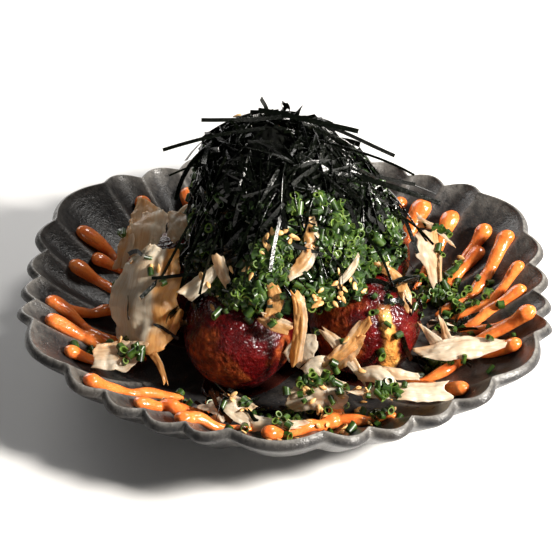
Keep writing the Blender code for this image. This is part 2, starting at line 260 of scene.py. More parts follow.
def plate_profile():
    """Rows from the middle of the floor over the lip to the foot, as
    (share of the rim line, height rule, push outwards, roundness, circle radius, flute share)."""
    rows = []
    for number in range(1, INSIDE_ROWS + 1):
        share = (number / INSIDE_ROWS) ** 0.8
        rise = max(0.0, (share - FLOOR_FRACTION) / (1 - FLOOR_FRACTION))
        rows.append((share, lambda z, r=rise: FLOOR_TOP + (z - FLOOR_TOP) * r * r, 0.0, 0.0, 0.0,
                     rise * (1 - 0.75 * rise) * 1.6))
    for number in range(1, LIP_ROWS):
        angle = math.pi * number / LIP_ROWS
        rows.append((1.0, lambda z, a=angle: z + LIP_CROWN * math.sin(a) - LIP_DROP * (1 - math.cos(a)) / 2,
                     LIP * math.sin(angle / 2) ** 1.5, 0.0, 0.0, 0.0))
    for number in range(WALL_ROWS):
        t = number / WALL_ROWS
        tuck = smooth_step(0.0, 0.12, t)
        rows.append((1.0 - TUCK_IN * tuck - WALL_LEAN * t,
                     lambda z, t=t, tuck=tuck: (z - LIP_DROP) * (1 - t) + z * KNEE * t - TUCK_DOWN * tuck,
                     LIP, 0.0, 0.0, 0.0))
    for number in range(WALL_ROWS):
        t = number / WALL_ROWS
        rows.append((1.0 - TUCK_IN - WALL_LEAN - UNDERSIDE_LEAN * t,
                     lambda z, t=t: (z * KNEE - TUCK_DOWN) * (1 - t) + FOOT_MEET * t, LIP,
                     t, FOOT_RADIUS + 0.004, 0.0))
    rows.append((0.0, lambda z: FOOT_HEIGHT + 0.0008, 0.0, 1.0, FOOT_RADIUS + 0.0018, 0.0))
    for radius, height in ((FOOT_RADIUS + 0.0003, 0.0012), (FOOT_RADIUS - 0.0002, 0.0002),
                           (FOOT_RADIUS - 0.0012, 0.0), (FOOT_RADIUS - FOOT_WIDTH, 0.0),
                           (FOOT_RADIUS - FOOT_WIDTH - 0.0006, 0.0004),
                           (FOOT_RADIUS - FOOT_WIDTH - 0.0014, FOOT_HEIGHT - 0.0002),
                           (FOOT_RADIUS * 0.7, FOOT_HEIGHT), (FOOT_RADIUS * 0.3, FOOT_HEIGHT)):
        rows.append((0.0, lambda z, h=height: h, 0.0, 1.0, radius, 0.0))
    return rows


def blend_colours(tree, share, first, second):
    """first where share is 0 and second where it is 1; each may be a colour or a socket."""
    first, second = ((*colour, 1) if isinstance(colour, tuple) else colour for colour in (first, second))
    return put(tree, "ShaderNodeMix", {0: share, 6: first, 7: second}, data_type="RGBA").outputs[2]


def attribute(tree, name):
    """A number that the piece stores at each vertex or face."""
    return put(tree, "ShaderNodeAttribute", attribute_name=name).outputs["Fac"]


def bump(tree, height, strength, distance, normal=None):
    """Fine relief from a height, on top of any coarser relief."""
    inputs = {"Height": height, "Strength": strength, "Distance": distance}
    if normal:
        inputs["Normal"] = normal
    return put(tree, "ShaderNodeBump", inputs).outputs["Normal"]


def set_attribute(piece, name, values):
    """One number for each vertex of a piece, for its material to read."""
    layer = piece.data.attributes.new(name, "FLOAT", "POINT")
    layer.data.foreach_set("value", np.asarray(values, np.float32))


plate_line, plate_from_cusp, plate_hollow = rim_line(14, 22)
plate_rows = plate_profile()
plate_vertices, plate_faces, thin_glaze_and_highlight = [], [], []
for row_number, (share, height, outset, roundness, circle, flute) in enumerate(plate_rows):
    on_lip = math.exp(-((row_number - INSIDE_ROWS - 2.0) / 3.6) ** 2)
    for point, from_cusp, hollow in zip(plate_line, plate_from_cusp, plate_hollow):
        direction = Vector((point.x, point.y, 0)).normalized()
        reach = math.hypot(point.x, point.y) * share + outset
        reach = reach * (1 - roundness) + circle * roundness
        sag = FLUTE_DEPTH * flute * hollow
        uneven = 0.00025 * noise.noise(direction * reach * 45)
        plate_vertices.append(direction * reach + Vector((0, 0,
                                                          height(point.z) - sag + uneven
                                                          * min(1, share * 2))))
        ridge = math.exp(-(from_cusp * share / 0.0011) ** 2) * min(1.0, max(0.0, (share - 0.42) * 2.6))
        thin_glaze_and_highlight.append(max(on_lip, ridge * (0.62 if row_number < INSIDE_ROWS + LIP_ROWS else 0.5)))
columns = len(plate_line)
for row in range(len(plate_rows) - 1):
    for i in range(columns):
        j = (i + 1) % columns
        plate_faces.append((row * columns + i, (row + 1) * columns + i, (row + 1) * columns + j,
                            row * columns + j))
for ring, height, turn in ((0, FLOOR_TOP, 1), (len(plate_rows) - 1, FOOT_HEIGHT, -1)):
    plate_vertices.append(Vector((0, 0, height)))
    thin_glaze_and_highlight.append(0.0)
    for i in range(columns):
        j = (i + 1) % columns
        face = (len(plate_vertices) - 1, ring * columns + i, ring * columns + j)
        plate_faces.append(face[::turn])

glaze_mat, glaze_tree, glaze_shader = new_material("charcoal_stoneware_glaze")
broad = noise_value(glaze_tree, 22.0, 5.0, 0.65)
fine = noise_value(glaze_tree, 420.0, 4.0, 0.6)
speck = noise_value(glaze_tree, 1500.0, 2.0, 0.5)
tone = ramp(glaze_tree, broad, [(0.30, (0.008, 0.008, 0.009)), (0.50, (0.016, 0.016, 0.017)),
                                (0.66, (0.030, 0.026, 0.023))])
tone = blend_colours(glaze_tree, ramp(glaze_tree, fine, [(0.40, 0.0), (0.75, 0.6)]), tone,
                     (0.045, 0.040, 0.036))
# Pale specks: the glaze's own speckle, made pale enough to be painted glints as well.
tone = blend_colours(glaze_tree, ramp(glaze_tree, speck, [(0.66, 0.0), (0.74, 0.55)]), tone,
                     (0.12, 0.115, 0.11))
tone = blend_colours(glaze_tree, ramp(glaze_tree, speck, [(0.24, 0.7), (0.32, 0.0)]), tone,
                     (0.008, 0.008, 0.009))
# Paler where the glaze runs thin on the lip and the ridges; this pale band is also painted highlight.
thin = attribute(glaze_tree, "thin_glaze_and_highlight")
thin_glaze_and_highlight_broken = put(glaze_tree, "ShaderNodeMath", {0: thin,
                                                 1: ramp(glaze_tree, fine, [(0.30, 0.35), (0.62, 1.0)])},
                  operation="MULTIPLY").outputs[0]
tone = blend_colours(glaze_tree, thin_glaze_and_highlight_broken, tone, (0.20, 0.19, 0.175))
set_inputs(glaze_tree, glaze_shader, {
    "Base Color": tone, "Specular IOR Level": 0.38,
    "Roughness": ramp(glaze_tree, fine, [(0.25, 0.24), (0.75, 0.44)]),
    "Normal": bump(glaze_tree, speck, 0.5, 0.0003, bump(glaze_tree, fine, 0.5, 0.0006))})

plate = add_piece("fluted_plate", plate_vertices, plate_faces, glaze_mat)
set_attribute(plate, "thin_glaze_and_highlight", thin_glaze_and_highlight)
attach(plate, "root")
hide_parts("plate")

# ---------------------------------------------------------------- dumplings
# Six octopus dumplings, turned in a cast pan from thin batter: lumpy balls with a browned, folded
# crust. A dark sweet glaze is brushed over them and runs down, so patches of toasted batter show.
BALLS = {
    # node: (seed, directions that the glaze leaves bare, two directions on a golden seam and its width)
    "ball_front_left": (11, [((-0.56, -0.76, 0.05), 0.42), ((0.85, -0.52, 0.00), 0.30),
                             ((-0.20, -0.95, -0.35), 0.34)], None),
    "ball_front_right": (12, [((-0.80, -0.58, 0.20), 0.80)],
                         ((0.29, -0.65, 0.70), (0.47, -0.84, -0.27), 0.185)),
    "ball_left": (13, [((-0.70, -0.50, 0.0), 0.5), ((-0.5, 0.8, 0.1), 0.45)], None),
    "ball_back": (14, [((-0.50, 0.85, 0.1), 0.55), ((0.8, 0.4, -0.2), 0.4)],
                  ((0.25, 0.70, 0.65), (0.05, 0.98, -0.2), 0.120)),
    "ball_right": (15, [((0.85, 0.40, 0.2), 0.55), ((0.2, 0.95, -0.1), 0.4)], None),
    "ball_top": (16, [((-0.4, -0.8, 0.3), 0.5)], None),
}
BALL_DETAIL = 6


def make_ball(node, seed, bare_patches, seam, mat):
    """One dumpling inside its solid's box, with how bare, golden and toasted each vertex is."""
    low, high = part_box(node)
    centre, half = (low + high) / 2, (high - low) / 2
    bm = bmesh.new()
    bmesh.ops.create_icosphere(bm, subdivisions=BALL_DETAIL, radius=1.0)
    bare, golden, toasted = [], [], []
    shift = Vector((seed * 7.1, -seed * 3.3, seed * 1.7))
    for vertex in bm.verts:
        d = vertex.co.normalized()
        lump = noise.noise(d * 1.6 + shift) * 0.035 + noise.noise(d * 4.0 + shift) * 0.016
        crust = noise.fractal(d * 9.0 + shift, 0.9, 2.1, 4)
        plain = 0.0
        for direction, width in bare_patches:
            away = (d - Vector(direction).normalized()).length + 0.30 * noise.noise(d * 3.2 + shift)
            plain = max(plain, 1 - smooth_step(width * 0.75, width * 1.25, away))
        seam_share = 0.0
        if seam:
            upper, lower, width = Vector(seam[0]).normalized(), Vector(seam[1]).normalized(), seam[2]
            offset = d.dot(upper.cross(lower).normalized()) + 0.07 * noise.noise(d * 3.4 + shift)
            offset += 0.05 * noise.noise(d * 11.0 + shift)
            facing = smooth_step(0.25, 0.60, d.dot((upper + lower).normalized()))
            width *= 0.65 + 0.55 * smooth_step(0.8, -0.3, d.z)
            facing *= 1 - smooth_step(0.55, 0.85, d.z)
            seam_share = facing * (1 - smooth_step(width * 0.45, width, abs(offset)))
            lump -= 0.045 * facing * math.exp(-((offset + width * 1.15) / 0.045) ** 2)
            lump += 0.022 * seam_share
        rough = 0.35 + 0.65 * max(plain, seam_share)
        lump += crust * (0.010 * rough + 0.014 * seam_share)
        lump -= 0.05 * smooth_step(0.86, 1.0, -d.z)
        vertex.co = centre + Vector((d.x * half.x, d.y * half.y, d.z * half.z)) * (0.975 + lump)
        bare.append(plain)
        golden.append(seam_share)
        toasted.append(0.5 + 0.5 * crust)
    mesh = bpy.data.meshes.new(node)
    bm.to_mesh(mesh)
    bm.free()
    mesh.shade_smooth()
    mesh.materials.append(mat)
    piece = bpy.data.objects.new(node.replace("ball", "dumpling"), mesh)
    bpy.context.scene.collection.objects.link(piece)
    for name, values in (("bare", bare), ("golden", golden), ("toasted", toasted)):
        set_attribute(piece, name, values)
    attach(piece, "root")
    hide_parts(node)
    return piece


crust_mat, crust_tree, crust_shader = new_material("browned_dumpling_crust")
patchy = noise_value(crust_tree, 160.0, 5.0, 0.6)
grain = noise_value(crust_tree, 1300.0, 4.0, 0.65)
toast = attribute(crust_tree, "toasted")
batter = ramp(crust_tree, toast, [(0.25, (0.28, 0.055, 0.012)), (0.50, (0.15, 0.022, 0.006)),
                                  (0.80, (0.05, 0.007, 0.003))])
batter = blend_colours(crust_tree, ramp(crust_tree, patchy, [(0.50, 0.0), (0.72, 0.6)]), batter,
                       (0.46, 0.13, 0.032))
glazed = ramp(crust_tree, patchy, [(0.28, (0.020, 0.0012, 0.0012)), (0.52, (0.066, 0.0024, 0.0028)),
                                   (0.75, (0.14, 0.006, 0.005))])
gold = ramp(crust_tree, patchy, [(0.30, (0.40, 0.10, 0.014)), (0.50, (0.62, 0.31, 0.075)),
                                 (0.68, (0.74, 0.50, 0.19))])
colour = blend_colours(crust_tree, attribute(crust_tree, "bare"), glazed, batter)
colour = blend_colours(crust_tree, attribute(crust_tree, "golden"), colour, gold)
bare_crust = attribute(crust_tree, "bare")
beads = noise_value(crust_tree, 620.0, 2.0, 0.5)
crust_relief = bump(crust_tree, beads, 0.80, 0.0010, bump(crust_tree, patchy, 0.6, 0.0022))
set_inputs(crust_tree, crust_shader, {
    "Base Color": colour, "Specular IOR Level": 0.15,
    "Roughness": ramp(crust_tree, bare_crust, [(0.1, 0.20), (0.9, 0.42)]),
    "Subsurface Weight": 0.12, "Subsurface Radius": (0.004, 0.0015, 0.0008),
    "Coat Weight": ramp(crust_tree, bare_crust, [(0.1, 0.45), (0.9, 0.12)]), "Coat Roughness": 0.05,
    "Coat Normal": crust_relief, "Normal": bump(crust_tree, grain, 0.30, 0.0003, crust_relief)})
for node, (seed, bare_patches, seam) in BALLS.items():
    make_ball(node, seed, bare_patches, seam, crust_mat)

# ---------------------------------------------------------------- dark sauce
# Sweet brown sauce brushed on the dumplings that has run off them: a thin, glossy, uneven pool on
# the plate's floor, which shows between the dumplings and just in front of them.
SAUCE_RINGS, SAUCE_SEGMENTS, SAUCE_DEPTH, SAUCE_SKIRT = 26, 150, 0.0011, 0.0006
POOL_RADIUS, POOL_PAST_BALL = 0.026, 0.016
ring_centres = [(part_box(n)[0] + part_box(n)[1]) / 2 for n in BALLS if n != "ball_top"]


def sauce_reach(angle):
    """Uneven outline of the pool: it bulges under each dumpling."""
    reach = POOL_RADIUS
    for place in ring_centres:
        away = math.atan2(place.y, place.x) - angle
        near = math.exp(-(math.sin(away / 2) / 0.22) ** 2)
        reach = max(reach, POOL_RADIUS + near * (math.hypot(place.x, place.y) + POOL_PAST_BALL
                                                - POOL_RADIUS))
    uneven = noise.noise(Vector((math.cos(angle) * 2.2, math.sin(angle) * 2.2, 4.0))) * 0.007
    return reach + uneven + 0.0015 * math.sin(9 * angle)


sauce_vertices, sauce_faces = [], []
for ring in range(SAUCE_RINGS + 1):
    share = ring / SAUCE_RINGS
    for segment in range(SAUCE_SEGMENTS):
        angle = math.tau * segment / SAUCE_SEGMENTS
        reach = sauce_reach(angle) * share
        x, y = reach * math.cos(angle), reach * math.sin(angle)
        swell = 0.35 + 0.65 * (0.5 + 0.5 * noise.noise(Vector((x, y, 0)) * 70))
        depth = SAUCE_DEPTH * swell * math.sqrt(max(0.0, 1 - share ** 6))
        sauce_vertices.append((x, y, float(plate_height(x, y)) + depth - 0.00015))
for ring in range(SAUCE_RINGS):
    for i in range(SAUCE_SEGMENTS):
        j = (i + 1) % SAUCE_SEGMENTS
        first, second = ring * SAUCE_SEGMENTS, (ring + 1) * SAUCE_SEGMENTS
        if ring:
            sauce_faces.append((first + i, second + i, second + j, first + j))
        else:
            sauce_faces.append((first, second + i, second + j))
under = len(sauce_vertices)
outer = SAUCE_RINGS * SAUCE_SEGMENTS
for i in range(SAUCE_SEGMENTS):
    x, y, z = sauce_vertices[outer + i]
    sauce_vertices.append((x * 0.99, y * 0.99, z - SAUCE_SKIRT))
sauce_vertices.append((0, 0, FLOOR_TOP - SAUCE_SKIRT))
for i in range(SAUCE_SEGMENTS):
    j = (i + 1) % SAUCE_SEGMENTS
    sauce_faces.append((outer + i, under + i, under + j, outer + j))
    sauce_faces.append((len(sauce_vertices) - 1, under + j, under + i))
sauce_mat, sauce_tree, sauce_shader = new_material("dark_sweet_sauce")
streaks = noise_value(sauce_tree, 90.0, 3.0)
set_inputs(sauce_tree, sauce_shader, {
    "Base Color": ramp(sauce_tree, streaks, [(0.3, (0.010, 0.003, 0.003)), (0.7, (0.035, 0.008, 0.005))]),
    "Roughness": 0.09, "Coat Weight": 0.6, "Normal": bump(sauce_tree, streaks, 0.3, 0.0015)})
sauce = add_piece("sauce_pool", sauce_vertices, sauce_faces, sauce_mat)
sauce.data.validate()
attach(sauce, "root")

# ---------------------------------------------------------------- spicy mayonnaise
# Orange mayonnaise mixed with chilli, squeezed from a narrow nozzle in a zigzag over the whole
# serving. The strokes end in blobs on the flutes, meet in forks near the dumplings, and sag together.
MAYO_RADIUS, MAYO_STEP, MAYO_SLUMP, MAYO_VOXEL = 0.0027, 0.0016, 0.80, 0.00042
FORKS_LEFT = [  # each stroke: (angle in degrees, distance from the plate's centre) along it
    [(121, 0.084), (122, 0.070), (125, 0.056)], [(134, 0.088), (136, 0.076), (139, 0.060)],
    [(139, 0.060), (130, 0.052)],
    [(156, 0.0895), (154, 0.080), (157, 0.071), (152, 0.060)], [(160.5, 0.080), (157, 0.071)],
    [(169, 0.084), (168, 0.072), (170, 0.062)],
    [(188, 0.089), (184, 0.076), (178, 0.066), (176, 0.058)],
    [(188, 0.089), (193, 0.076), (196, 0.064), (199, 0.056)],
    [(196, 0.090), (199, 0.078), (197, 0.068)], [(199, 0.078), (205, 0.070)],
    [(207.5, 0.088), (208, 0.078), (205, 0.070), (204, 0.058)],
    [(224.5, 0.0945), (226, 0.083), (229, 0.072), (233, 0.062)],
    [(234, 0.0845), (238, 0.076), (243, 0.070), (246, 0.060)], [(238, 0.076), (247, 0.078)],
    [(247, 0.086), (248, 0.078), (243, 0.070)], [(248, 0.083), (256, 0.079), (262, 0.076)],
]
FORKS_FRONT = [[(268, 0.0795), (274, 0.0745), (281, 0.0715), (286, 0.068), (292, 0.0700), (297, 0.0745),
                (301, 0.0795)],
               [(286, 0.068), (290, 0.060), (292, 0.050)]]
FORKS_RIGHT = [
    [(-42, 0.088), (-40, 0.078), (-37, 0.067), (-36, 0.058)], [(-19, 0.074), (-27, 0.068), (-34, 0.062)],
    [(-23, 0.0925), (-22, 0.082), (-19, 0.074), (-17, 0.062)],
    [(-10.8, 0.0925), (-12, 0.080), (-15, 0.070), (-17, 0.060)],
    [(-10.8, 0.0925), (-6.5, 0.080), (-6, 0.066)], [(2.8, 0.0895), (0, 0.078), (-4, 0.068), (-6, 0.058)],
    [(10.8, 0.091), (6, 0.080), (3, 0.070), (1, 0.058)],
    [(22.5, 0.0925), (17, 0.082), (12, 0.072), (9, 0.060)],
    [(31, 0.0905), (28, 0.079), (23, 0.070)], [(26.5, 0.084), (25, 0.076), (23, 0.070), (20, 0.058)],
    [(41.5, 0.086), (38, 0.076), (34, 0.066), (30, 0.058)], [(51, 0.084), (50, 0.074), (48, 0.062)],
    [(58, 0.084), (60, 0.074), (62, 0.060)], [(69, 0.087), (68, 0.074), (71, 0.060)],
]
FORKS_BACK = [[(82, 0.086), (84, 0.075), (83, 0.066)], [(94, 0.088), (92, 0.077), (95, 0.066)],
              [(108, 0.085), (106, 0.076), (104, 0.066)]]


def resting_height(x, y, radius):
    """Height at which a bead of sauce of this radius lies across the flutes."""
    best = -1.0
    for number in range(12):
        angle = number * math.tau / 12
        for share in (0.0, 0.5, 0.85):
            lift = radius * math.sqrt(1 - share * share)
            best = max(best, float(plate_height(x + radius * share * math.cos(angle),
                                                y + radius * share * math.sin(angle))) + lift)
    return best


def stroke_curve(name, strokes, seed):
    """A curve object with a smooth spline for each stroke, thicker at its outer end."""
    data = bpy.data.curves.new(name, "CURVE")
    data.dimensions = "3D"
    draw = random.Random(seed)
    for stroke in strokes:
        knots = [Vector((r * math.cos(math.radians(a)), r * math.sin(math.radians(a)))) for a, r in stroke]
        points = []
        for number in range(len(knots) - 1):
            before = knots[max(0, number - 1)]
            start, end = knots[number], knots[number + 1]
            after = knots[min(len(knots) - 1, number + 2)]
            steps = max(3, round((end - start).length / MAYO_STEP))
            for step in range(steps + (number == len(knots) - 2)):
                t = step / steps
                points.append(0.5 * ((2 * start) + (end - before) * t
                                     + (2 * before - 5 * start + 4 * end - after) * t * t
                                     + (3 * start - before - 3 * end + after) * t ** 3))
        spline = data.splines.new("POLY")
        spline.points.add(len(points) - 1)
        phase = draw.uniform(0, 50)
        plump = draw.uniform(0.88, 1.12)
        for number, (knot, place) in enumerate(zip(spline.points, points)):
            along = number * MAYO_STEP
            swell = noise.noise(Vector((along * 110, phase, 0)))
            blob = 0.38 * math.exp(-(along / 0.005) ** 2)
            fade = 0.55 + 0.45 * smooth_step(0.0, 0.012, (len(points) - 1) * MAYO_STEP - along)
            size = plump * (0.90 + 0.42 * swell + blob) * fade
            lift = resting_height(place.x, place.y, MAYO_RADIUS * size * MAYO_SLUMP)
            knot.co = (place.x, place.y, lift - MAYO_RADIUS * 0.10, 1)
            knot.radius = size
    curve = bpy.data.objects.new(name, data)
    bpy.context.scene.collection.objects.link(curve)
    return curve


def plain_mesh(piece, name):
    """The piece with its modifiers applied, as a new object; the old one is removed."""
    evaluated = piece.evaluated_get(bpy.context.evaluated_depsgraph_get())
    mesh = bpy.data.meshes.new_from_object(evaluated)
    bpy.data.objects.remove(piece)
    mesh.name = name
    result = bpy.data.objects.new(name, mesh)
    bpy.context.scene.collection.objects.link(result)
    return result


def socket_key(tree, name):
    """The identifier of a node group's input, by which a modifier sets it."""
    return next(item.identifier for item in tree.interface.items_tree
                if item.item_type == "SOCKET" and item.in_out == "INPUT" and item.name == name)


def geometry_tree(name, inputs):
    """A Geometry Nodes tree with its geometry sockets and named inputs (name -> (type, value))."""
    tree = bpy.data.node_groups.new(name, "GeometryNodeTree")
    tree.interface.new_socket("Geometry", in_out="INPUT", socket_type="NodeSocketGeometry")
    for key, (kind, value) in inputs.items():
        socket = tree.interface.new_socket(key, in_out="INPUT", socket_type="NodeSocket" + kind)
        if value is not None:
            socket.default_value = value
    tree.interface.new_socket("Geometry", in_out="OUTPUT", socket_type="NodeSocketGeometry")
    return tree, put(tree, "NodeGroupInput"), put(tree, "NodeGroupOutput")


def run_tree(piece, tree, values, name):
    """Evaluates a tree on a piece with these input values, and returns the plain mesh."""
    modifier = piece.modifiers.new("shape", "NODES")
    modifier.node_group = tree
    for key, value in values.items():
        modifier[socket_key(tree, key)] = value
    return plain_mesh(piece, name)


bead_tree, bead_in, bead_out = geometry_tree("piped_bead", {
    "Bead Radius": ("Float", MAYO_RADIUS), "Material": ("Material", None)})
bead_circle = put(bead_tree, "GeometryNodeCurvePrimitiveCircle",
                  {"Resolution": 12, "Radius": bead_in.outputs["Bead Radius"]}, mode="RADIUS")
bead_skin = put(bead_tree, "GeometryNodeCurveToMesh",
                {"Curve": bead_in.outputs["Geometry"], "Profile Curve": bead_circle.outputs[0],
                 "Fill Caps": True})
bead_radius = put(bead_tree, "GeometryNodeInputRadius")
if "Scale" in bead_skin.inputs:
    bead_tree.links.new(bead_radius.outputs[0], bead_skin.inputs["Scale"])
bead_points = put(bead_tree, "GeometryNodeCurveToPoints", {"Curve": bead_in.outputs["Geometry"]},
                  mode="EVALUATED")
bead_ball = put(bead_tree, "GeometryNodeMeshIcoSphere",
                {"Radius": bead_in.outputs["Bead Radius"], "Subdivisions": 2})
bead_ends = put(bead_tree, "GeometryNodeInstanceOnPoints",
                {"Points": bead_points.outputs[0], "Instance": bead_ball.outputs[0],
                 "Scale": bead_radius.outputs[0]})
bead_join = put(bead_tree, "GeometryNodeJoinGeometry")
bead_tree.links.new(bead_skin.outputs[0], bead_join.inputs[0])
bead_tree.links.new(put(bead_tree, "GeometryNodeRealizeInstances", {0: bead_ends.outputs[0]}).outputs[0],
                    bead_join.inputs[0])
bead_set = put(bead_tree, "GeometryNodeSetMaterial", {"Geometry": bead_join.outputs[0],
                                                      "Material": bead_in.outputs["Material"]})
bead_tree.links.new(bead_set.outputs[0], bead_out.inputs[0])

mayo_mat, mayo_tree, mayo_shader = new_material("spicy_mayonnaise")
mayo_soft = noise_value(mayo_tree, 180.0, 3.0)
mayo_fleck = noise_value(mayo_tree, 1400.0, 2.0, 0.5)
mayo_tone = ramp(mayo_tree, mayo_soft, [(0.30, (0.68, 0.135, 0.022)), (0.70, (0.84, 0.255, 0.058))])
mayo_tone = blend_colours(mayo_tree, ramp(mayo_tree, mayo_fleck, [(0.68, 0.0), (0.76, 0.8)]), mayo_tone,
                          (0.42, 0.02, 0.008))
mayo_relief = bump(mayo_tree, mayo_fleck, 0.15, 0.0003, bump(mayo_tree, mayo_soft, 0.45, 0.0020))
set_inputs(mayo_tree, mayo_shader, {
    "Base Color": mayo_tone, "Roughness": 0.24, "Normal": mayo_relief,
    "Subsurface Weight": 0.25, "Subsurface Radius": (0.003, 0.0012, 0.0005),
    "Coat Weight": 0.4, "Coat Roughness": 0.08, "Coat Normal": mayo_relief})

for name, strokes, nodes, seed in (("mayo_strokes_left", FORKS_LEFT, ["mayo_left"], 3),
                                   ("mayo_strokes_right", FORKS_RIGHT, ["mayo_right"], 4),
                                   ("mayo_strokes_front", FORKS_FRONT, ["mayo_front"], 5),
                                   ("mayo_strokes_back", FORKS_BACK, [], 6)):
    curve = stroke_curve(name + "_line", strokes, seed)
    skin = run_tree(curve, bead_tree, {"Bead Radius": MAYO_RADIUS, "Material": mayo_mat}, name + "_skin")
    melt = skin.modifiers.new("melt", "REMESH")
    melt.mode = "VOXEL"
    melt.voxel_size = MAYO_VOXEL
    sag = skin.modifiers.new("sag", "SMOOTH")
    sag.factor, sag.iterations = 0.5, 6
    mayo = plain_mesh(skin, name)
    spread = np.empty(len(mayo.data.vertices) * 3)
    mayo.data.vertices.foreach_get("co", spread)
    spread = spread.reshape(-1, 3)
    under = plate_height(spread[:, 0], spread[:, 1])
    spread[:, 2] = under + (spread[:, 2] - under) * MAYO_SLUMP
    mayo.data.vertices.foreach_set("co", spread.ravel())
    mayo.data.shade_smooth()
    mayo.data.materials.clear()
    mayo.data.materials.append(mayo_mat)
    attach(mayo, "root")
    for node in nodes:
        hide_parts(node)

# ---------------------------------------------------------------- bonito flakes
# Paper-thin shavings of dried bonito: ragged, fibrous and translucent, pale where they are thinnest
# and amber along dark muscle. They curl in the steam, and stand, lean and lie wherever they drop.
FLAKE_THICKNESS = 0.00020
FLAKES = {
    # node: middle line (mm), facing, widths along it (mm), cupping (degrees), amber at both edges
    # The large left flake's amber right edge is painted shade, where the heap shades it.
    "flake_left_large": (
        [(-44.5, -16, 57), (-49.5, -24, 52), (-53.0, -30, 42), (-54.0, -34.5, 32), (-53.5, -38, 25)],
        (-4, -8, 4), (9, 25, 33, 33, 22), 88, (0.0, 0.75)),
    "flake_left_folded": (
        [(-55.0, 43.5, 37), (-55.5, 38, 35), (-56.0, 33, 33.5), (-57.0, 31, 31), (-57.5, 30, 23)],
        (0, -7, 5), (12, 15, 16, 13, 13), 35, (0.45, 0.10)),
    "flake_left_flat": (
        [(-50.5, -43.0, 29), (-58.5, -44.5, 26.5), (-69.5, -46.5, 26.5)],
        (0, -4, 9), (4, 14, 9), 35, (0.30, 0.05)),
    "flake_front_crumpled": (
        [(-28.0, -65.0, 20), (-18.5, -68.5, 23), (-8.5, -71.5, 20)],
        (0, -3, 9), (6, 13, 9), 75, (0.0, 0.10)),
    "flake_front_folded": (
        [(3.5, -61.0, 19), (13.0, -60.5, 23), (23.5, -59.0, 21)],
        (0, -8, 6), (8, 14, 10), 60, (0.05, 0.20)),
    "flake_front_long": (
        [(24.2, -62.6, 26), (43.0, -64.5, 28), (61.5, -62.0, 26.5)],
        (0, -3, 9), (4, 8, 7), 25, (0.0, 0.10)),
    "flake_ball_front": (
        [(16.0, -46.5, 22), (22.5, -48.0, 30), (29.5, -46.0, 37.5)],
        (-2, -9, 3), (4, 7, 3), 50, (0.60, 0.90)),
    "flake_right_large": (
        [(51.5, -40.5, 27.5), (60, -41.0, 30.5), (70, -38.5, 31), (84.0, -34.5, 30)],
        (1, -4, 9), (5, 10, 11, 4), 95, (0.0, 0.15)),
    "flake_right_back": (
        [(53.0, 15.5, 47.0), (55.5, 12.5, 38), (58.5, 9.5, 25)],
        (6, -8, 2), (8, 12, 5), 60, (0.15, 0.45)),
    "flake_back": (
        [(-2.5, 66.0, 25), (10.0, 70.0, 29), (22.5, 72.0, 27)],
        (1, 6, 7), (7, 15, 8), 75, (0.05, 0.2)),
    "flake_back_right": (
        [(51.5, 52.0, 28), (58, 43.5, 30), (64.5, 35.0, 28)],
        (7, 5, 7), (6, 14, 7), 60, (0.1, 0.3)),
    "flake_heap_front": (
        [(5.0, -45.5, 57), (6.5, -48.5, 50), (6.5, -51.5, 42), (4.5, -53.5, 30)],
        (-1, -9, 3), (4, 5, 5, 5), 60, (1.0, 0.35)),
}
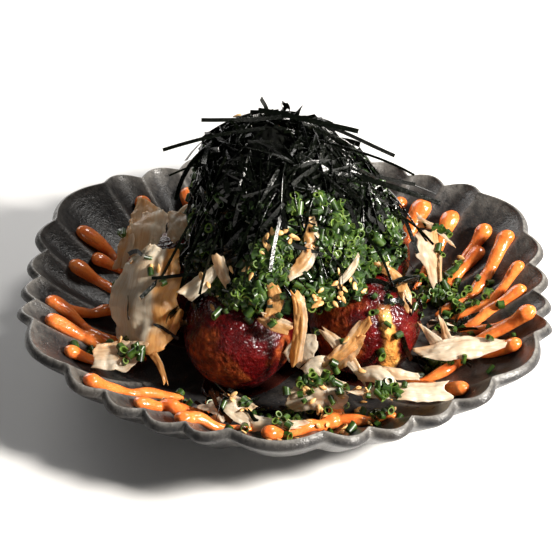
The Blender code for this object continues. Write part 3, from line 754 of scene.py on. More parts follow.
SCRAPS = [
    # smaller shavings over the heap and between the dumplings, written the same way
    ([(8.5, -22.5, 75.5), (9.5, -27.0, 70.5), (10.5, -31.5, 65.5)],
     (1, -8, 5), (4, 6, 5), 40, (0.85, 0.40)),
    ([(10.5, -30.5, 66.5), (7.0, -35.5, 62.0), (1.5, -39.0, 58.5)],
     (1, -8, 6), (6, 6, 3), 60, (0.55, 0.10)),
    ([(-4.0, -41.5, 57.5), (-2.5, -45.0, 52.5), (-4.0, -47.5, 47.0)],
     (0, -9, 5), (4, 6, 5), 55, (0.95, 0.80)),
    ([(-7.5, -47.5, 46.5), (-2.5, -49.5, 45.5), (3.0, -50.5, 44.0)],
     (0, -8, 6), (4, 6, 5), 45, (0.75, 0.40)),
    ([(-36.5, -38.5, 48.5), (-30.4, -36.2, 53), (-24.2, -31.5, 57)],
     (-3, -8, 4), (6, 7, 3), 80, (0.0, 0.10)),
    ([(-24.5, -31.5, 62), (-22.5, -34.0, 57), (-20.0, -37.0, 53)],
     (-2, -9, 3), (4, 5, 3), 60, (0.35, 0.05)),
    ([(-65.0, -34.5, 23.5), (-57.5, -39.3, 24.5), (-49.5, -40.0, 27), (-42.0, -38.0, 31),
      (-38.5, -34.7, 36)],
     (-1, -6, 7), (3, 4, 4, 4, 2), 70, (1.0, 0.9)),
    ([(-50.2, -39.7, 26.5), (-46.0, -43.0, 22.5), (-42.0, -48.0, 15)],
     (-3, -8, 4), (4, 3, 1), 50, (0.9, 0.9)),
    ([(-44.5, 42.5, 29), (-40.5, 41.0, 33), (-36.0, 40.5, 32)],
     (0, -8, 4), (5, 10, 9), 40, (0.0, 0.15)),
    ([(-52.5, 14.0, 52), (-53.0, 8.0, 51.5), (-54.5, 3.0, 49), (-55.5, -1.5, 41)],
     (-3, -7, 6), (9, 14, 14, 10), 45, (0.35, 0.10)),
    ([(-45.5, 10.0, 53), (-42.0, 3.0, 53.5), (-38.5, -2.5, 51)],
     (-2, -7, 6), (5, 12, 10), 60, (0.10, 0.35)),
    ([(-60.5, 10.0, 48), (-62.0, 3.0, 44), (-64.0, -2.5, 37)],
     (-7, -6, 4), (6, 9, 6), 50, (0.60, 0.20)),
    ([(3.0, -47.0, 27), (8.0, -46.5, 33), (12.5, -46.0, 36)],
     (0, -8, 5), (9, 11, 5), 70, (0.0, 0.05)),
    ([(8.5, -52.5, 25), (14.0, -51.0, 28), (19.0, -50.0, 25)],
     (1, -8, 5), (6, 9, 7), 80, (0.0, 0.10)),
    ([(14.5, -41.0, 37.5), (22.0, -46.5, 33), (30.5, -50.5, 22)],
     (-1, -6, 7), (2, 6, 2), 50, (0.10, 0.40)),
    ([(27.5, -50.5, 25), (35.0, -53.5, 27), (41.0, -55.5, 24.5)],
     (0, -7, 6), (5, 8, 4), 110, (0.0, 0.05)),
    ([(37.5, -50.5, 28), (43.0, -52.5, 27), (50.5, -51.5, 25)],
     (1, -6, 8), (2, 5, 2), 80, (0.25, 0.05)),
    ([(50.5, -29.5, 33), (56.5, -36.0, 29.5), (60.4, -39.9, 27)],
     (-2, -8, 5), (1, 5, 4), 50, (0.2, 0.0)),
    ([(58.5, -26.5, 34), (60.5, -33.0, 30.0), (62.4, -38.9, 28)],
     (-4, -8, 5), (1, 4, 5), 50, (0.3, 0.1)),
    ([(17.5, -50.2, 30), (24.8, -46.9, 35.5), (30.5, -40.6, 42)],
     (-1, -8, 6), (4, 6, 5), 50, (0.9, 0.5)),
    ([(34.5, -20.5, 52.5), (41.0, -21.5, 49), (44.9, -27.0, 45), (46.3, -31.0, 39)],
     (4, -8, 6), (3, 4, 5, 2), 60, (0.8, 0.6)),
    ([(27.4, -26.5, 62), (24.6, -31.3, 57.5), (18.7, -36.6, 53)],
     (2, -8, 6), (1, 3, 2), 60, (0.0, 0.1)),
    ([(56.5, -14.5, 25), (60.5, -20.0, 23), (66.0, -25.0, 21)],
     (1, -5, 9), (6, 11, 5), 60, (0.0, 0.1)),
    ([(-27.5, -70.5, 16), (-21.0, -71.5, 19.5), (-16.0, -66.5, 24)],
     (-2, -7, 6), (2, 4, 2), 40, (0.55, 0.35)),
    ([(-10.0, -73.5, 18.5), (0.5, -75.5, 20), (9.0, -75.0, 19.5)],
     (0, -3, 9), (6, 5, 3), 45, (0.0, 0.05)),
    ([(18.0, 62.0, 25), (27.0, 60.0, 28), (35.5, 55.0, 26)],
     (4, 7, 6), (5, 12, 6), 80, (0.1, 0.4)),
    ([(-30.0, 61.0, 24), (-22.0, 65.0, 28), (-12.0, 66.5, 25)],
     (-2, 7, 6), (6, 13, 5), 70, (0.0, 0.2)),
    ([(-36.0, 38.0, 49), (-30.0, 44.5, 44), (-27.0, 50.5, 35)],
     (-6, 7, 5), (5, 12, 8), 60, (0.1, 0.5)),
    ([(26.0, 42.5, 50), (31.5, 46.5, 42), (36.5, 47.0, 33)],
     (5, 8, 5), (6, 11, 5), 60, (0.4, 0.1)),
    ([(2.0, 46.0, 52), (-2.0, 53.5, 46), (-3.0, 60.0, 37)],
     (0, 8, 5), (4, 9, 6), 50, (0.1, 0.3)),
]


def spread_along(values, share):
    """The value at a share of the way along a list, by straight lines."""
    step = share * (len(values) - 1)
    number = min(len(values) - 2, int(step))
    return values[number] + (values[number + 1] - values[number]) * (step - number)


def line_at(points, share):
    """The place at a share of the way along a smooth line through points."""
    step = share * (len(points) - 1)
    number = min(len(points) - 2, int(step))
    t = step - number
    start, end = points[number], points[number + 1]
    before = points[number - 1] if number else 2 * start - end
    after = points[number + 2] if number + 2 < len(points) else 2 * end - start
    return 0.5 * ((2 * start) + (end - before) * t + (2 * before - 5 * start + 4 * end - after) * t * t
                  + (3 * start - before - 3 * end + after) * t ** 3)


def flake_geometry(seed, line, facing, widths, cupping, edges, cells):
    """Points of one cupped, wrinkled and ragged sheet as a grid, its fibre coordinates and its amber, which
    on one flake is also painted shade.
    """
    line = [Vector(p) / 1000 for p in line]
    length = sum((b - a).length for a, b in zip(line, line[1:]))
    half_cup = math.radians(cupping) / 2
    points, places, tint = [], [], []
    for i in range(cells[0] + 1):
        u = i / cells[0]
        along = (line_at(line, min(1, u + 0.02)) - line_at(line, max(0, u - 0.02))).normalized()
        side = Vector(facing).normalized().cross(along).normalized()
        outward = along.cross(side)
        half = spread_along(widths, u) / 2000
        for j in range(cells[1] + 1):
            v = 2 * j / cells[1] - 1
            flank = 7.0 if v > 0 else 0.0
            reach = half * (1 + 0.20 * noise.noise(Vector((u * 3.4, flank, seed)))
                            + 0.05 * noise.noise(Vector((u * length * 600, flank, seed)))
                            + 0.03 * noise.noise(Vector((u * length * 1900, flank, seed))))
            end, near_end = (1, 2 * u - 1) if u > 0.5 else (-1, 1 - 2 * u)
            torn = end * near_end ** 3 * (0.12 * length * noise.noise(Vector((v * 1.1, end, seed + 3.5)))
                                          + 0.0007 * noise.noise(Vector((v * half * 900, end, seed + 3.5))))
            curl = 0.22 * length * near_end ** 3 * noise.noise(Vector((end * 5.0, v * 0.5, seed + 12.0)))
            turn = v * half_cup
            across = side * (reach * math.sin(turn) / half_cup)
            ruffle = 0.16 * reach * v * v * noise.noise(Vector((u * length * 260, flank, seed + 9.0)))
            crease = 0.28 * half * (abs(noise.noise(Vector((u * 2.6, v * 1.5, seed + 5.0)))) - 0.2)
            crinkle = 0.00040 * noise.noise(Vector((u * length * 420, v * half * 700, seed + 5.0)))
            depth = reach * (math.cos(turn) - 1) / half_cup + ruffle + crease + crinkle + curl
            points.append(line_at(line, u) + along * torn + across + outward * depth)
            places.append((u * length / 0.02 + seed * 0.37, v * half / 0.01))
            tint.append(edges[0] + (edges[1] - edges[0]) * smooth_step(0.30, 0.42, v))
    return points, places, tint


def add_flakes(name, shapes, mat, cells):
    """A piece of one or more flakes, each a sheet with a real thickness."""
    vertices, faces, fibres, amber_and_shade = [], [], [], []
    for shape in shapes:
        first, rows = len(vertices), cells[1] + 1
        points, places, tint = flake_geometry(*shape, cells)
        vertices += points
        fibres += places
        amber_and_shade += tint
        for i in range(cells[0]):
            for j in range(cells[1]):
                at = first + i * rows + j
                faces.append((at, at + rows, at + rows + 1, at + 1))
    piece = add_piece(name, vertices, faces, mat)
    layer = piece.data.uv_layers.new(name="fibre")
    for loop in piece.data.loops:
        layer.data[loop.index].uv = fibres[loop.vertex_index]
    set_attribute(piece, "amber_and_shade", amber_and_shade)
    thickness = piece.modifiers.new("thickness", "SOLIDIFY")
    thickness.thickness = FLAKE_THICKNESS
    thickness.offset = 0
    piece = plain_mesh(piece, name)
    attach(piece, "root")
    return piece


flake_mat, flake_tree, flake_shader = new_material("bonito_flake")
flake_uv = put(flake_tree, "ShaderNodeUVMap", uv_map="fibre").outputs[0]
fibre_place = put(flake_tree, "ShaderNodeMapping",
                  {"Vector": flake_uv, "Scale": (1.0, 7.0, 1.0)}).outputs[0]
fibres = put(flake_tree, "ShaderNodeTexNoise", {"Vector": fibre_place, "Scale": 2.0,
                                                "Detail": 3.5}).outputs[0]
clouds = noise_value(flake_tree, 150.0, 3.0)
pale = ramp(flake_tree, fibres, [(0.30, (0.80, 0.69, 0.53)), (0.50, (0.86, 0.78, 0.64)),
                                 (0.72, (0.92, 0.87, 0.77))])
deep = ramp(flake_tree, fibres, [(0.30, (0.70, 0.31, 0.040)), (0.70, (0.87, 0.52, 0.12))])
amber_and_shade_share = put(flake_tree, "ShaderNodeMath", {0: attribute(flake_tree, "amber_and_shade"),
                                                 1: ramp(flake_tree, clouds, [(0.36, 0.0), (0.66, 0.42)])},
                  operation="ADD", use_clamp=True).outputs[0]
amber_and_shade_share = put(flake_tree, "ShaderNodeMath", {0: amber_and_shade_share, 1: 0.18}, operation="SUBTRACT",
                  use_clamp=True).outputs[0]
flake_colour = blend_colours(flake_tree, amber_and_shade_share, pale, deep)
crumple = noise_value(flake_tree, 280.0, 5.0, 0.7)
set_inputs(flake_tree, flake_shader, {
    "Base Color": flake_colour, "Roughness": 0.22, "Specular IOR Level": 0.60,
    "Normal": bump(flake_tree, fibres, 0.10, 0.0002, bump(flake_tree, crumple, 0.45, 0.0010))})
flake_glow = put(flake_tree, "ShaderNodeBsdfTranslucent", {"Color": flake_colour})
flake_mix = put(flake_tree, "ShaderNodeMixShader",
                {0: 0.64, 1: flake_shader.outputs[0], 2: flake_glow.outputs[0]})
flake_tree.links.new(flake_mix.outputs[0], flake_tree.nodes["Material Output"].inputs["Surface"])

for seed, (node, shape) in enumerate(FLAKES.items(), start=1):
    flake = add_flakes(node.replace("flake", "bonito"), [(seed, *shape)], flake_mat, (44, 26))
    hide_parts(node)
add_flakes("bonito_scraps", [(seed, *shape) for seed, shape in enumerate(SCRAPS, start=31)], flake_mat,
           (26, 14))

# ---------------------------------------------------------------- cores of the heap
# The chives and nori are heaped over the dumplings. What lies too deep to see is one dark, lumpy
# body for each, a little smaller than the heap; the loose cuts in the next sections cover it.
CORE_VOXEL = 0.0013


def sunk_core(name, node, depth, depth_below, depth_on_top, relief, mat):
    """The heap's solid, refined, drawn inwards on its flanks, below and on top, with a lumpy surface."""
    bm = bmesh.new()
    bm.from_mesh(frame["nodes"][node].data)
    bmesh.ops.remove_doubles(bm, verts=bm.verts[:], dist=0.00002)
    bmesh.ops.dissolve_degenerate(bm, dist=0.00002, edges=bm.edges[:])
    mesh = bpy.data.meshes.new(name)
    bm.to_mesh(mesh)
    bm.free()
    piece = bpy.data.objects.new(name, mesh)
    bpy.context.scene.collection.objects.link(piece)
    even = piece.modifiers.new("even", "REMESH")
    even.mode = "VOXEL"
    even.voxel_size = CORE_VOXEL
    piece = plain_mesh(piece, name)
    for vertex, normal in [(v, v.normal.copy()) for v in piece.data.vertices]:
        lump = noise.fractal(vertex.co * 420, 0.8, 2.1, 3)
        inward = depth_below + (depth - depth_below) * smooth_step(-0.1, 0.3, normal.z)
        inward += (depth_on_top - depth) * smooth_step(0.078, 0.096, vertex.co.z)
        vertex.co -= normal * (inward - relief * lump)
    piece.data.shade_smooth()
    piece.data.materials.clear()
    piece.data.materials.append(mat)
    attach(piece, "root")
    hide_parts(node)
    return piece


deep_green, deep_green_tree, deep_green_shader = new_material("chives_in_shade")
deep_black, deep_black_tree, deep_black_shader = new_material("nori_in_shade")
for tree, shader, darkest, palest in (
        (deep_green_tree, deep_green_shader, (0.003, 0.007, 0.002), (0.008, 0.022, 0.004)),
        (deep_black_tree, deep_black_shader, (0.0008, 0.001, 0.0008), (0.002, 0.0025, 0.0015))):
    tone = ramp(tree, noise_value(tree, 500.0, 4.0), [(0.35, darkest), (0.70, palest)])
    set_inputs(tree, shader, {"Base Color": tone, "Roughness": 0.9, "Specular IOR Level": 0.08})
chive_core = sunk_core("chive_core", "chive_heap", 0.0016, 0.0018, 0.0016, 0.0008, deep_green)
nori_core = sunk_core("nori_core", "nori_heap", 0.0028, 0.0, 0.0060, 0.0010, deep_black)

# ---------------------------------------------------------------- cut chives
# Young chives cut across into short hollow tubes, two to four millimetres long, and dropped in
# handfuls: heaped over the dumplings under the nori, and scattered loose on the plate's flutes.


def top_finder(pieces):
    """A search for the highest point of these pieces at a place; it gives the point and its normal."""
    vertices, faces = [], []
    graph = bpy.context.evaluated_depsgraph_get()
    for piece in pieces:
        mesh = piece.evaluated_get(graph).to_mesh()
        first = len(vertices)
        vertices += [v.co.copy() for v in mesh.vertices]
        faces += [[first + i for i in polygon.vertices] for polygon in mesh.polygons]
    tree = BVHTree.FromPolygons(vertices, faces)

    def find(x, y):
        place, normal, _, _ = tree.ray_cast(Vector((x, y, 0.2)), Vector((0, 0, -1)))
        return (place, normal) if place else (None, None)
    return find


def tube_mesh(name, outer, wall, length, slant, sides=9):
    """A short hollow tube along Z, its ends cut at a slant; cut faces and bore are marked."""
    vertices, faces = [], []
    for radius in (outer, outer - wall):
        for end in (-1, 1):
            for number in range(sides):
                angle = math.tau * number / sides
                x = radius * math.cos(angle)
                vertices.append((x, radius * math.sin(angle) * 0.88,
                                 end * length / 2 + slant * x * (end > 0)))
    for number in range(sides):
        following = (number + 1) % sides
        low_out, high_out, low_in, high_in = (block * sides for block in range(4))
        faces.append((low_out + number, low_out + following, high_out + following, high_out + number))
        faces.append((low_in + following, low_in + number, high_in + number, high_in + following))
        faces.append((high_out + number, high_out + following, high_in + following, high_in + number))
        faces.append((low_out + following, low_out + number, low_in + number, low_in + following))
    mesh = bpy.data.meshes.new(name)
    mesh.from_pydata(vertices, [], faces)
    cut = mesh.attributes.new("cut_face", "FLOAT", "FACE")
    cut.data.foreach_set("value", [0.0 if number % 4 == 0 else 1.0 for number in range(len(faces))])
    mesh.shade_smooth()
    mesh.set_sharp_from_angle(angle=math.radians(50))
    return mesh


scatter_tree, scatter_in, scatter_out = geometry_tree("scatter_on_points", {
    "Kinds": ("Collection", None), "Smallest": ("Float", 0.8), "Largest": ("Float", 1.2),
    "Tilt": ("Float", 3.14), "Seed": ("Int", 1), "Material": ("Material", None)})
kinds = put(scatter_tree, "GeometryNodeCollectionInfo",
            {"Collection": scatter_in.outputs["Kinds"], "Separate Children": True, "Reset Children": True})
free_turn = put(scatter_tree, "FunctionNodeRandomValue", {"Seed": scatter_in.outputs["Seed"]},
                data_type="FLOAT_VECTOR")
tilt_limits = put(scatter_tree, "ShaderNodeCombineXYZ",
                  {0: scatter_in.outputs["Tilt"], 1: scatter_in.outputs["Tilt"], 2: 3.14})
scatter_tree.links.new(tilt_limits.outputs[0], free_turn.inputs[1])
scatter_tree.links.new(put(scatter_tree, "ShaderNodeVectorMath", {0: tilt_limits.outputs[0], "Scale": -1.0},
                           operation="SCALE").outputs[0], free_turn.inputs[0])
lying = put(scatter_tree, "GeometryNodeInputNamedAttribute", {"Name": "lie_on"}, data_type="FLOAT_VECTOR")
upright = put(scatter_tree, "FunctionNodeAlignRotationToVector", {"Vector": lying.outputs[0]}, axis="Z")
turned = put(scatter_tree, "FunctionNodeRotateRotation",
             {"Rotation": upright.outputs[0], "Rotate By": free_turn.outputs[0]}, rotation_space="LOCAL")
size_spread = put(scatter_tree, "FunctionNodeRandomValue", {"Seed": scatter_in.outputs["Seed"]},
                  data_type="FLOAT")
for socket in size_spread.inputs:
    if socket.type == "VALUE" and socket.name in ("Min", "Max"):
        scatter_tree.links.new(scatter_in.outputs["Smallest" if socket.name == "Min" else "Largest"],
                               socket)
placed = put(scatter_tree, "GeometryNodeInstanceOnPoints",
             {"Points": scatter_in.outputs["Geometry"], "Instance": kinds.outputs[0], "Pick Instance": True,
              "Rotation": turned.outputs[0], "Scale": size_spread.outputs[1]})
real = put(scatter_tree, "GeometryNodeRealizeInstances", {0: placed.outputs[0]})
coloured = put(scatter_tree, "GeometryNodeSetMaterial",
               {0: real.outputs[0], "Material": scatter_in.outputs["Material"]})
scatter_tree.links.new(coloured.outputs[0], scatter_out.inputs[0])


def scatter(name, places, meshes, sizes, tilt, seed, mat):
    """One piece of many small things; places are (point, direction it lies on)."""
    collection = bpy.data.collections.new(name + "_kinds")
    for number, mesh in enumerate(meshes):
        collection.objects.link(bpy.data.objects.new(f"{name}_kind_{number}", mesh))
    points = add_piece(name + "_points", [p for p, _ in places], [], mat)
    layer = points.data.attributes.new("lie_on", "FLOAT_VECTOR", "POINT")
    layer.data.foreach_set("vector", [c for _, normal in places for c in normal])
    piece = run_tree(points, scatter_tree, {"Kinds": collection, "Smallest": sizes[0], "Largest": sizes[1],
                                            "Tilt": tilt, "Seed": seed, "Material": mat}, name)
    for kind in list(collection.objects):
        bpy.data.objects.remove(kind)
    bpy.data.collections.remove(collection)
    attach(piece, "root")
    return piece


chive_mat, chive_tree, chive_shader = new_material("cut_chive")
chive_tone = noise_value(chive_tree, 260.0, 2.0)
chive_skin = ramp(chive_tree, chive_tone, [(0.30, (0.005, 0.015, 0.002)), (0.50, (0.019, 0.050, 0.005)),
                                           (0.72, (0.058, 0.110, 0.012))])
chive_inside = ramp(chive_tree, chive_tone, [(0.30, (0.050, 0.098, 0.011)), (0.70, (0.160, 0.235, 0.045))])
set_inputs(chive_tree, chive_shader, {
    "Base Color": blend_colours(chive_tree, attribute(chive_tree, "cut_face"), chive_skin, chive_inside),
    "Roughness": 0.36, "Subsurface Weight": 0.15, "Subsurface Radius": (0.0004, 0.0010, 0.0003)})

# Kinds of cut: outer radius, wall and length (m), and how slanted its end is.
CHIVE_KINDS = [
    (0.00150, 0.00040, 0.0020, 0.1), (0.00135, 0.00036, 0.0030, 0.3), (0.00120, 0.00034, 0.0016, 0.0),
    (0.00155, 0.00042, 0.0026, 0.5), (0.00110, 0.00032, 0.0038, 0.4)
]
CHIVE_TILT = 1.6
chive_draw = random.Random(21)
heap_low, heap_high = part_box("chive_heap")
heap_middle = (heap_low + heap_high) / 2
find_heap = top_finder([frame["nodes"]["chive_heap"], frame["nodes"]["nori_heap"]])
chive_meshes = [tube_mesh(f"chive_{n}", *sizes) for n, sizes in enumerate(CHIVE_KINDS)]

# Handfuls on the heap: place (mm), spread (mm), how many, and how high they pile up (mm).
HEAP_HANDFULS = [
    (20, -24, 4.6, 120, 3.2), (25, -21, 3.6, 70, 2.6), (15, -27, 3.4, 40, 2.0),
    (11.7, -18.5, 2.4, 22, 1.5), (4, -23, 2.6, 18, 1.2), (-4, -36, 3.8, 70, 2.6), (-9, -34, 3.6, 46, 2.0),
    (0, -31, 2.8, 30, 1.8), (-16, -40, 3.4, 60, 2.4), (-10, -43, 3.0, 30, 1.8), (10, -41, 2.8, 26, 1.8),
    (16, -38, 2.6, 20, 1.4), (-27, -31, 3.6, 50, 2.4), (-30, -20, 3.4, 22, 1.2), (35, -17, 3.6, 46, 2.2),
    (39, -8, 3.4, 34, 1.8), (27, -30, 3.0, 34, 1.8), (-36, -6, 3.2, 20, 1.2), (38, 8, 4.0, 30, 1.6),
    (26, 30, 5.0, 44, 2.0), (0, 38, 5.0, 40, 2.0), (-24, 30, 5.0, 36, 2.0), (-36, 14, 4.0, 26, 1.6)
]
heap_places = []
for x, y, spread, count, pile in HEAP_HANDFULS:
    for _ in range(count):
        across, away = chive_draw.gauss(0, 0.62), chive_draw.gauss(0, 0.62)
        place, normal = find_heap((x + across * spread) / 1000, (y + away * spread) / 1000)
        if place:
            depth = pile * math.exp(-(across * across + away * away)) * chive_draw.random()
            heap_places.append((place + normal * (depth - 0.4) / 1000, normal))
scatter("chives_on_heap", heap_places, chive_meshes, (0.90, 1.35), CHIVE_TILT, 5, chive_mat)

# Between the handfuls chives lie in the nori's shade: a darker copy of the chive colour, nearly black,
# painted in as shade.
shaded_chive_mat, shaded_chive_tree, shaded_chive_shader = new_material("chive_painted_shade")
shaded_chive_tone = ramp(shaded_chive_tree, noise_value(shaded_chive_tree, 260.0, 2.0),
                [(0.30, (0.003, 0.006, 0.002)), (0.70, (0.014, 0.030, 0.006))])
set_inputs(shaded_chive_tree, shaded_chive_shader, {"Base Color": shaded_chive_tone, "Roughness": 0.25})
SHADED_CHIVES, SHADE_TOP = 900, 0.080
shaded_chive_places = []
while len(shaded_chive_places) < SHADED_CHIVES:
    turn, share = chive_draw.uniform(-math.pi, math.pi), math.sqrt(chive_draw.random())
    reach = share * (heap_high.x - heap_low.x) / 2 * 1.02
    place, normal = find_heap(heap_middle.x + reach * math.cos(turn),
                              heap_middle.y + reach * math.sin(turn))
    if place and place.z < SHADE_TOP:
        shaded_chive_places.append((place + normal * chive_draw.uniform(-0.0014, 0.0004), normal))
scatter("chives_in_shade", shaded_chive_places, chive_meshes, (0.75, 1.05), CHIVE_TILT, 6, shaded_chive_mat)

# Loose handfuls: bearing (degrees), distance from the plate's centre, spread (m) and how many.
CHIVE_PATCHES = [
    (-84, 0.062, 0.007, 34), (-72, 0.060, 0.008, 30), (-101, 0.061, 0.006, 18), (-60, 0.075, 0.005, 26),
    (-88, 0.071, 0.006, 16), (20, 0.064, 0.008, 60), (8, 0.068, 0.007, 34), (32, 0.066, 0.007, 24),
    (-20, 0.060, 0.007, 18), (203, 0.076, 0.005, 10), (212, 0.070, 0.006, 6), (172, 0.066, 0.005, 6),
    (222, 0.070, 0.005, 8), (232, 0.064, 0.005, 4), (-117, 0.046, 0.004, 6), (-45, 0.054, 0.007, 8),
    (60, 0.060, 0.009, 26), (95, 0.066, 0.010, 30), (128, 0.062, 0.010, 22), (-66, 0.031, 0.005, 8),
    (-150, 0.056, 0.005, 3), (-90, 0.068, 0.026, 26), (0, 0.074, 0.030, 26)
]
settled = [o for o in bpy.data.objects if o.name.startswith(("dumpling_", "bonito_", "mayo_strokes_",
                                                             "fluted_", "sauce_"))]
find_top = top_finder(settled)
INSIDE_RIM = 0.091


def patch_places(patches, draw, lift):
    """Places on whatever lies uppermost, in loose round patches."""
    places = []
    for bearing, distance, spread, count in patches:
        middle = Vector((math.cos(math.radians(bearing)), math.sin(math.radians(bearing)))) * distance
        for _ in range(count):
            x, y = middle.x + draw.gauss(0, spread / 1.6), middle.y + draw.gauss(0, spread / 1.6)
            if math.hypot(x, y) > INSIDE_RIM:
                continue
            place, normal = find_top(x, y)
            if place:
                places.append((place + normal * lift * draw.uniform(0.6, 1.3), normal))
    return places


scatter("chives_loose", patch_places(CHIVE_PATCHES, chive_draw, 0.0011), chive_meshes, (0.78, 1.25),
        CHIVE_TILT, 8, chive_mat)

# ---------------------------------------------------------------- sesame seeds
# Toasted sesame seeds: flat golden drops a little over three millimetres long. They are sprinkled
# over the sauces, the flakes and the chives just before the nori is dropped on.


def seed_mesh(name, length, width, thick):
    """A flattened drop lying along X, pointed at one end."""
    bm = bmesh.new()
    bmesh.ops.create_uvsphere(bm, u_segments=10, v_segments=7, radius=0.5)
    for vertex in bm.verts:
        x, y, z = vertex.co
        narrow = 1 - 0.45 * smooth_step(-0.2, 0.5, z)
        vertex.co = (z * length, x * width * narrow, y * thick * narrow)
    bmesh.ops.recalc_face_normals(bm, faces=bm.faces[:])
    mesh = bpy.data.meshes.new(name)
    bm.to_mesh(mesh)
    bm.free()
    mesh.shade_smooth()
    return mesh


seed_mat, seed_tree, seed_shader = new_material("toasted_sesame")
seed_tone = ramp(seed_tree, noise_value(seed_tree, 330.0, 2.0),
                 [(0.30, (0.38, 0.17, 0.045)), (0.55, (0.62, 0.36, 0.13)), (0.75, (0.78, 0.55, 0.28))])
set_inputs(seed_tree, seed_shader, {"Base Color": seed_tone, "Roughness": 0.42})
# Loose seeds: bearing (degrees), distance from the plate's centre, spread (m) and how many.
SEED_PATCHES = [
    (-80, 0.064, 0.010, 22), (-68, 0.068, 0.010, 20), (-58, 0.062, 0.010, 10), (-100, 0.066, 0.010, 10),
    (-45, 0.030, 0.006, 14), (-58, 0.026, 0.007, 12), (-30, 0.045, 0.008, 5), (-125, 0.040, 0.010, 6),
    (-90, 0.078, 0.012, 8), (90, 0.060, 0.014, 10), (20, 0.060, 0.012, 8), (200, 0.060, 0.014, 5)
]
seed_draw = random.Random(31)
seed_places = patch_places(SEED_PATCHES, seed_draw, 0.0006)
# Seeds on the heap: place (mm), spread (mm) and how many.
SEED_HANDFULS = [
    (-5, -30, 2.5, 7), (2, -28, 2.5, 4), (13, -40, 2.5, 9), (20, -37, 3.0, 9), (27, -33, 2.5, 6),
    (-14, -37, 4.0, 3), (34, -24, 3.0, 3), (10, 34, 8.0, 8), (-20, 30, 8.0, 6)
]
for x, y, spread, count in SEED_HANDFULS:
    for _ in range(count):
        place, normal = find_heap((x + seed_draw.gauss(0, spread / 1.6)) / 1000,
                                  (y + seed_draw.gauss(0, spread / 1.6)) / 1000)
        if place:
            seed_places.append((place + normal * 0.0022, normal))
scatter("sesame_seeds", seed_places, [seed_mesh("sesame_a", 0.0034, 0.0020, 0.0010),
                                      seed_mesh("sesame_b", 0.0031, 0.0018, 0.0009)],
        (0.9, 1.12), 0.5, 9, seed_mat)

# ---------------------------------------------------------------- shredded nori
# Roasted nori cut into shreds about two millimetres wide: stiff, glossy, black green ribbons that
# are dropped from above as a tall loose haystack. Most cross each other; some stick far out.
SHRED_WIDTH, SHRED_THICKNESS = 0.0021, 0.00022
SHRED_COUNT, STACK_RADIUS = 760, 0.041
find_stack = top_finder([frame["nodes"]["nori_heap"], frame["nodes"]["chive_heap"]])
peak = Vector((-0.0070, 0.0070))
shred_draw = random.Random(41)


def stand_off(point):
    """How far a point stands clear of the heap's surface; far when it is outside the heap."""
    below, slope = find_stack(point.x, point.y)
    return 0.02 if below is None else (point.z - below.z) * slope.z


def ribbon(middle, direction, normal, length, bow, wave):
    """Points of a shred: nearly straight, bowed towards the heap and slightly wavy."""
    side = normal.cross(direction).normalized()
    points = []
    steps = 9
    phase = shred_draw.uniform(0, 6)
    for number in range(steps + 1):
        t = 2 * number / steps - 1
        points.append(middle + direction * (t * length / 2) - normal * (bow * t * t)
                      + side * (wave * math.sin(2.2 * t + phase)))
    return points


shreds = []
while len(shreds) < SHRED_COUNT:
    turn = shred_draw.uniform(-math.pi, math.pi)
    share = shred_draw.random() ** 0.60
    reach = STACK_RADIUS * share
    x, y = peak.x + reach * math.cos(turn) + 0.004 * share, peak.y + reach * math.sin(turn) - 0.004 * share
    place, normal = find_stack(x, y)
    if place is None or place.z < 0.047 + 0.014 * (x > 0):
        continue
    over_chives = y < -0.010 and x > -0.012 and place.z < 0.068
    if over_chives and shred_draw.random() > 0.18 + 0.45 * (x > 0.022):
        continue
    downhill, slope = Vector((1, 0, 0)), Vector((normal.x, normal.y, 0))
    if slope.length > 0.05:
        downhill = (slope - normal * slope.dot(normal)).normalized()
    crossing = shred_draw.random() < (0.35 if place.z > 0.075 else 0.12)
    swing = shred_draw.gauss(0, 0.50) + (math.pi / 2 if crossing else 0)
    direction = Matrix.Rotation(swing, 3, normal) @ downhill
    length = shred_draw.uniform(0.014, 0.036)
    lift = shred_draw.uniform(-0.0016, 0.0016) - 0.0016 * smooth_step(0.085, 0.100, place.z)
    middle = place + normal * lift + direction * shred_draw.uniform(-0.2, 0.2) * length
    line = ribbon(middle, direction, normal, length, length ** 2 / 0.26 * shred_draw.uniform(0.7, 1.3),
                  shred_draw.uniform(0, 0.0014))
    loose_end = max(stand_off(line[0]), stand_off(line[-1])) > 0.0024
    if loose_end and shred_draw.random() > 0.10:
        continue
    if max(point.z for point in line) < 0.0925 + 0.0060 * shred_draw.random() ** 3:
        shreds.append((line, shred_draw.uniform(0.45, 1.0), shred_draw.gauss(0, 0.5)))

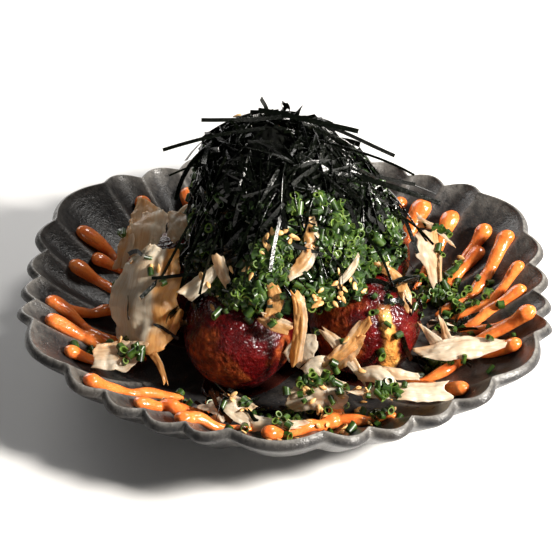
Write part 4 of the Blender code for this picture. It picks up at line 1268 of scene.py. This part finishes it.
# Long shreds that stand clear of the stack: start, end (m), sag at the middle (m).
LONG_SHREDS = [
    ((-0.008, 0.004, 0.096), (-0.0455, -0.001, 0.0885), -0.001),
    ((-0.002, 0.006, 0.100), (-0.032, 0.004, 0.0985), 0.001),
    ((-0.010, 0.002, 0.090), (-0.044, -0.006, 0.080), -0.001),
    ((-0.012, 0.010, 0.0995), (0.0255, 0.000, 0.0975), -0.001),
    ((-0.016, 0.010, 0.0935), (0.010, 0.006, 0.1005), 0.001),
    ((0.000, 0.010, 0.098), (0.040, 0.000, 0.088), -0.001),
    ((0.004, 0.006, 0.092), (0.0465, -0.001, 0.080), -0.002),
    ((0.010, 0.002, 0.086), (0.047, 0.002, 0.074), 0.001),
    ((0.016, 0.000, 0.080), (0.0565, -0.005, 0.0705), -0.002),
    ((0.018, 0.004, 0.078), (0.055, 0.004, 0.069), -0.002),
    ((-0.016, 0.008, 0.088), (-0.0215, 0.004, 0.0985), 0.0),
    ((-0.012, 0.008, 0.090), (-0.0145, 0.010, 0.0975), 0.001),
    ((-0.008, 0.014, 0.092), (-0.0100, 0.013, 0.1035), 0.0),
    ((0.001, 0.016, 0.090), (0.0050, 0.014, 0.1000), 0.0),
    ((-0.022, 0.006, 0.082), (-0.0290, 0.006, 0.0920), 0.001),
    ((0.000, 0.014, 0.096), (-0.0020, 0.016, 0.1010), 0.0),
    ((0.034, 0.006, 0.072), (0.0500, -0.004, 0.048), -0.003),
    ((0.036, 0.002, 0.070), (0.0530, -0.002, 0.052), -0.003),
    ((0.030, -0.008, 0.070), (0.0480, -0.014, 0.046), -0.003),
    ((0.034, -0.002, 0.066), (0.0555, -0.010, 0.056), -0.002),
    ((0.026, -0.014, 0.068), (0.0400, -0.030, 0.050), -0.002),
    ((-0.030, -0.008, 0.070), (-0.045, -0.028, 0.050), -0.003),
    ((-0.026, -0.010, 0.072), (-0.038, -0.034, 0.047), -0.003),
    ((-0.020, -0.014, 0.074), (-0.030, -0.040, 0.051), -0.003),
    ((-0.034, -0.012, 0.056), (-0.052, -0.036, 0.046), 0.001),
    ((-0.028, -0.030, 0.053), (-0.048, -0.030, 0.051), 0.0),
    ((0.008, -0.020, 0.074), (0.016, -0.038, 0.058), -0.002),
    ((0.020, -0.012, 0.074), (0.022, -0.038, 0.053), -0.003),
    ((-0.006, -0.020, 0.078), (-0.014, -0.042, 0.056), -0.003),
    ((0.000, -0.014, 0.084), (-0.004, -0.040, 0.062), -0.003),
]
for start, end, sag in LONG_SHREDS:
    start, end = Vector(start), Vector(end)
    points = []
    for number in range(11):
        t = number / 10
        waver = 0.0006 * math.sin(5 * t + start.x * 900)
        points.append(start.lerp(end, t) + Vector((waver, waver, -sag * 4 * t * (1 - t))))
    shreds.append((points, shred_draw.uniform(0.55, 1.0), shred_draw.gauss(0, 0.5)))

# Shreds that fell beside the heap: bearing, distance and spread (m), and how many.
FALLEN = [
    (-2, 0.062, 0.009, 20), (-14, 0.062, 0.007, 16), (-28, 0.050, 0.006, 10), (196, 0.060, 0.007, 8),
    (-96, 0.064, 0.004, 16), (-108, 0.064, 0.004, 20), (60, 0.056, 0.010, 12), (120, 0.056, 0.010, 12),
    (90, 0.050, 0.012, 14), (215, 0.050, 0.006, 4), (-134, 0.0405, 0.0035, 14)
]
for bearing, distance, spread, count in FALLEN:
    for _ in range(count):
        turn = math.radians(bearing)
        x = distance * math.cos(turn) + shred_draw.gauss(0, spread)
        y = distance * math.sin(turn) + shred_draw.gauss(0, spread)
        place, normal = find_top(x, y)
        if place is None:
            continue
        swing = Matrix.Rotation(shred_draw.uniform(0, math.tau), 3, normal)
        direction = (swing @ normal.orthogonal()).normalized()
        length = shred_draw.uniform(0.006, 0.016)
        bow = shred_draw.uniform(0.0, 0.0016)
        shreds.append((ribbon(place + normal * (0.0006 + bow), direction, normal, length, bow, 0.0008),
                       shred_draw.uniform(0.6, 1.0), shred_draw.gauss(0, 0.4)))

ribbon_tree, ribbon_in, ribbon_out = geometry_tree("cut_ribbon", {
    "Width": ("Float", SHRED_WIDTH), "Thickness": ("Float", SHRED_THICKNESS),
    "Material": ("Material", None)})
ribbon_section = put(ribbon_tree, "GeometryNodeCurvePrimitiveQuadrilateral",
                     {"Width": ribbon_in.outputs["Thickness"], "Height": ribbon_in.outputs["Width"]})
ribbon_skin = put(ribbon_tree, "GeometryNodeCurveToMesh",
                  {"Curve": ribbon_in.outputs["Geometry"], "Profile Curve": ribbon_section.outputs[0],
                   "Fill Caps": True})
if "Scale" in ribbon_skin.inputs:
    ribbon_tree.links.new(put(ribbon_tree, "GeometryNodeInputRadius").outputs[0],
                          ribbon_skin.inputs["Scale"])
ribbon_flat = put(ribbon_tree, "GeometryNodeSetShadeSmooth",
                  {"Geometry": ribbon_skin.outputs[0], "Shade Smooth": False})
ribbon_done = put(ribbon_tree, "GeometryNodeSetMaterial",
                  {0: put(ribbon_tree, "GeometryNodeRealizeInstances",
                          {0: ribbon_flat.outputs[0]}).outputs[0],
                   "Material": ribbon_in.outputs["Material"]})
ribbon_tree.links.new(ribbon_done.outputs[0], ribbon_out.inputs[0])

nori_mat, nori_tree, nori_shader = new_material("shredded_nori")
nori_tone = noise_value(nori_tree, 700.0, 4.0, 0.6)
set_inputs(nori_tree, nori_shader, {
    "Base Color": ramp(nori_tree, nori_tone, [(0.30, (0.0008, 0.0012, 0.0008)),
                                              (0.60, (0.0022, 0.0032, 0.0016)),
                                              (0.80, (0.009, 0.008, 0.003))]),
    "Roughness": ramp(nori_tree, nori_tone, [(0.3, 0.12), (0.7, 0.30)]), "Specular IOR Level": 0.36,
    "Normal": bump(nori_tree, nori_tone, 0.6, 0.0004)})

shred_data = bpy.data.curves.new("shred_lines", "CURVE")
shred_data.dimensions = "3D"
shred_data.twist_mode = "Z_UP"
for points, width, tilt in shreds:
    spline = shred_data.splines.new("POLY")
    spline.points.add(len(points) - 1)
    for number, (knot, place) in enumerate(zip(spline.points, points)):
        knot.co = (*place, 1)
        knot.radius = width
        knot.tilt = tilt + 0.06 * number * tilt
shred_lines = bpy.data.objects.new("shred_lines", shred_data)
bpy.context.scene.collection.objects.link(shred_lines)
nori = run_tree(shred_lines, ribbon_tree, {"Width": SHRED_WIDTH, "Thickness": SHRED_THICKNESS,
                                           "Material": nori_mat},
                "nori_shreds")
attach(nori, "root")
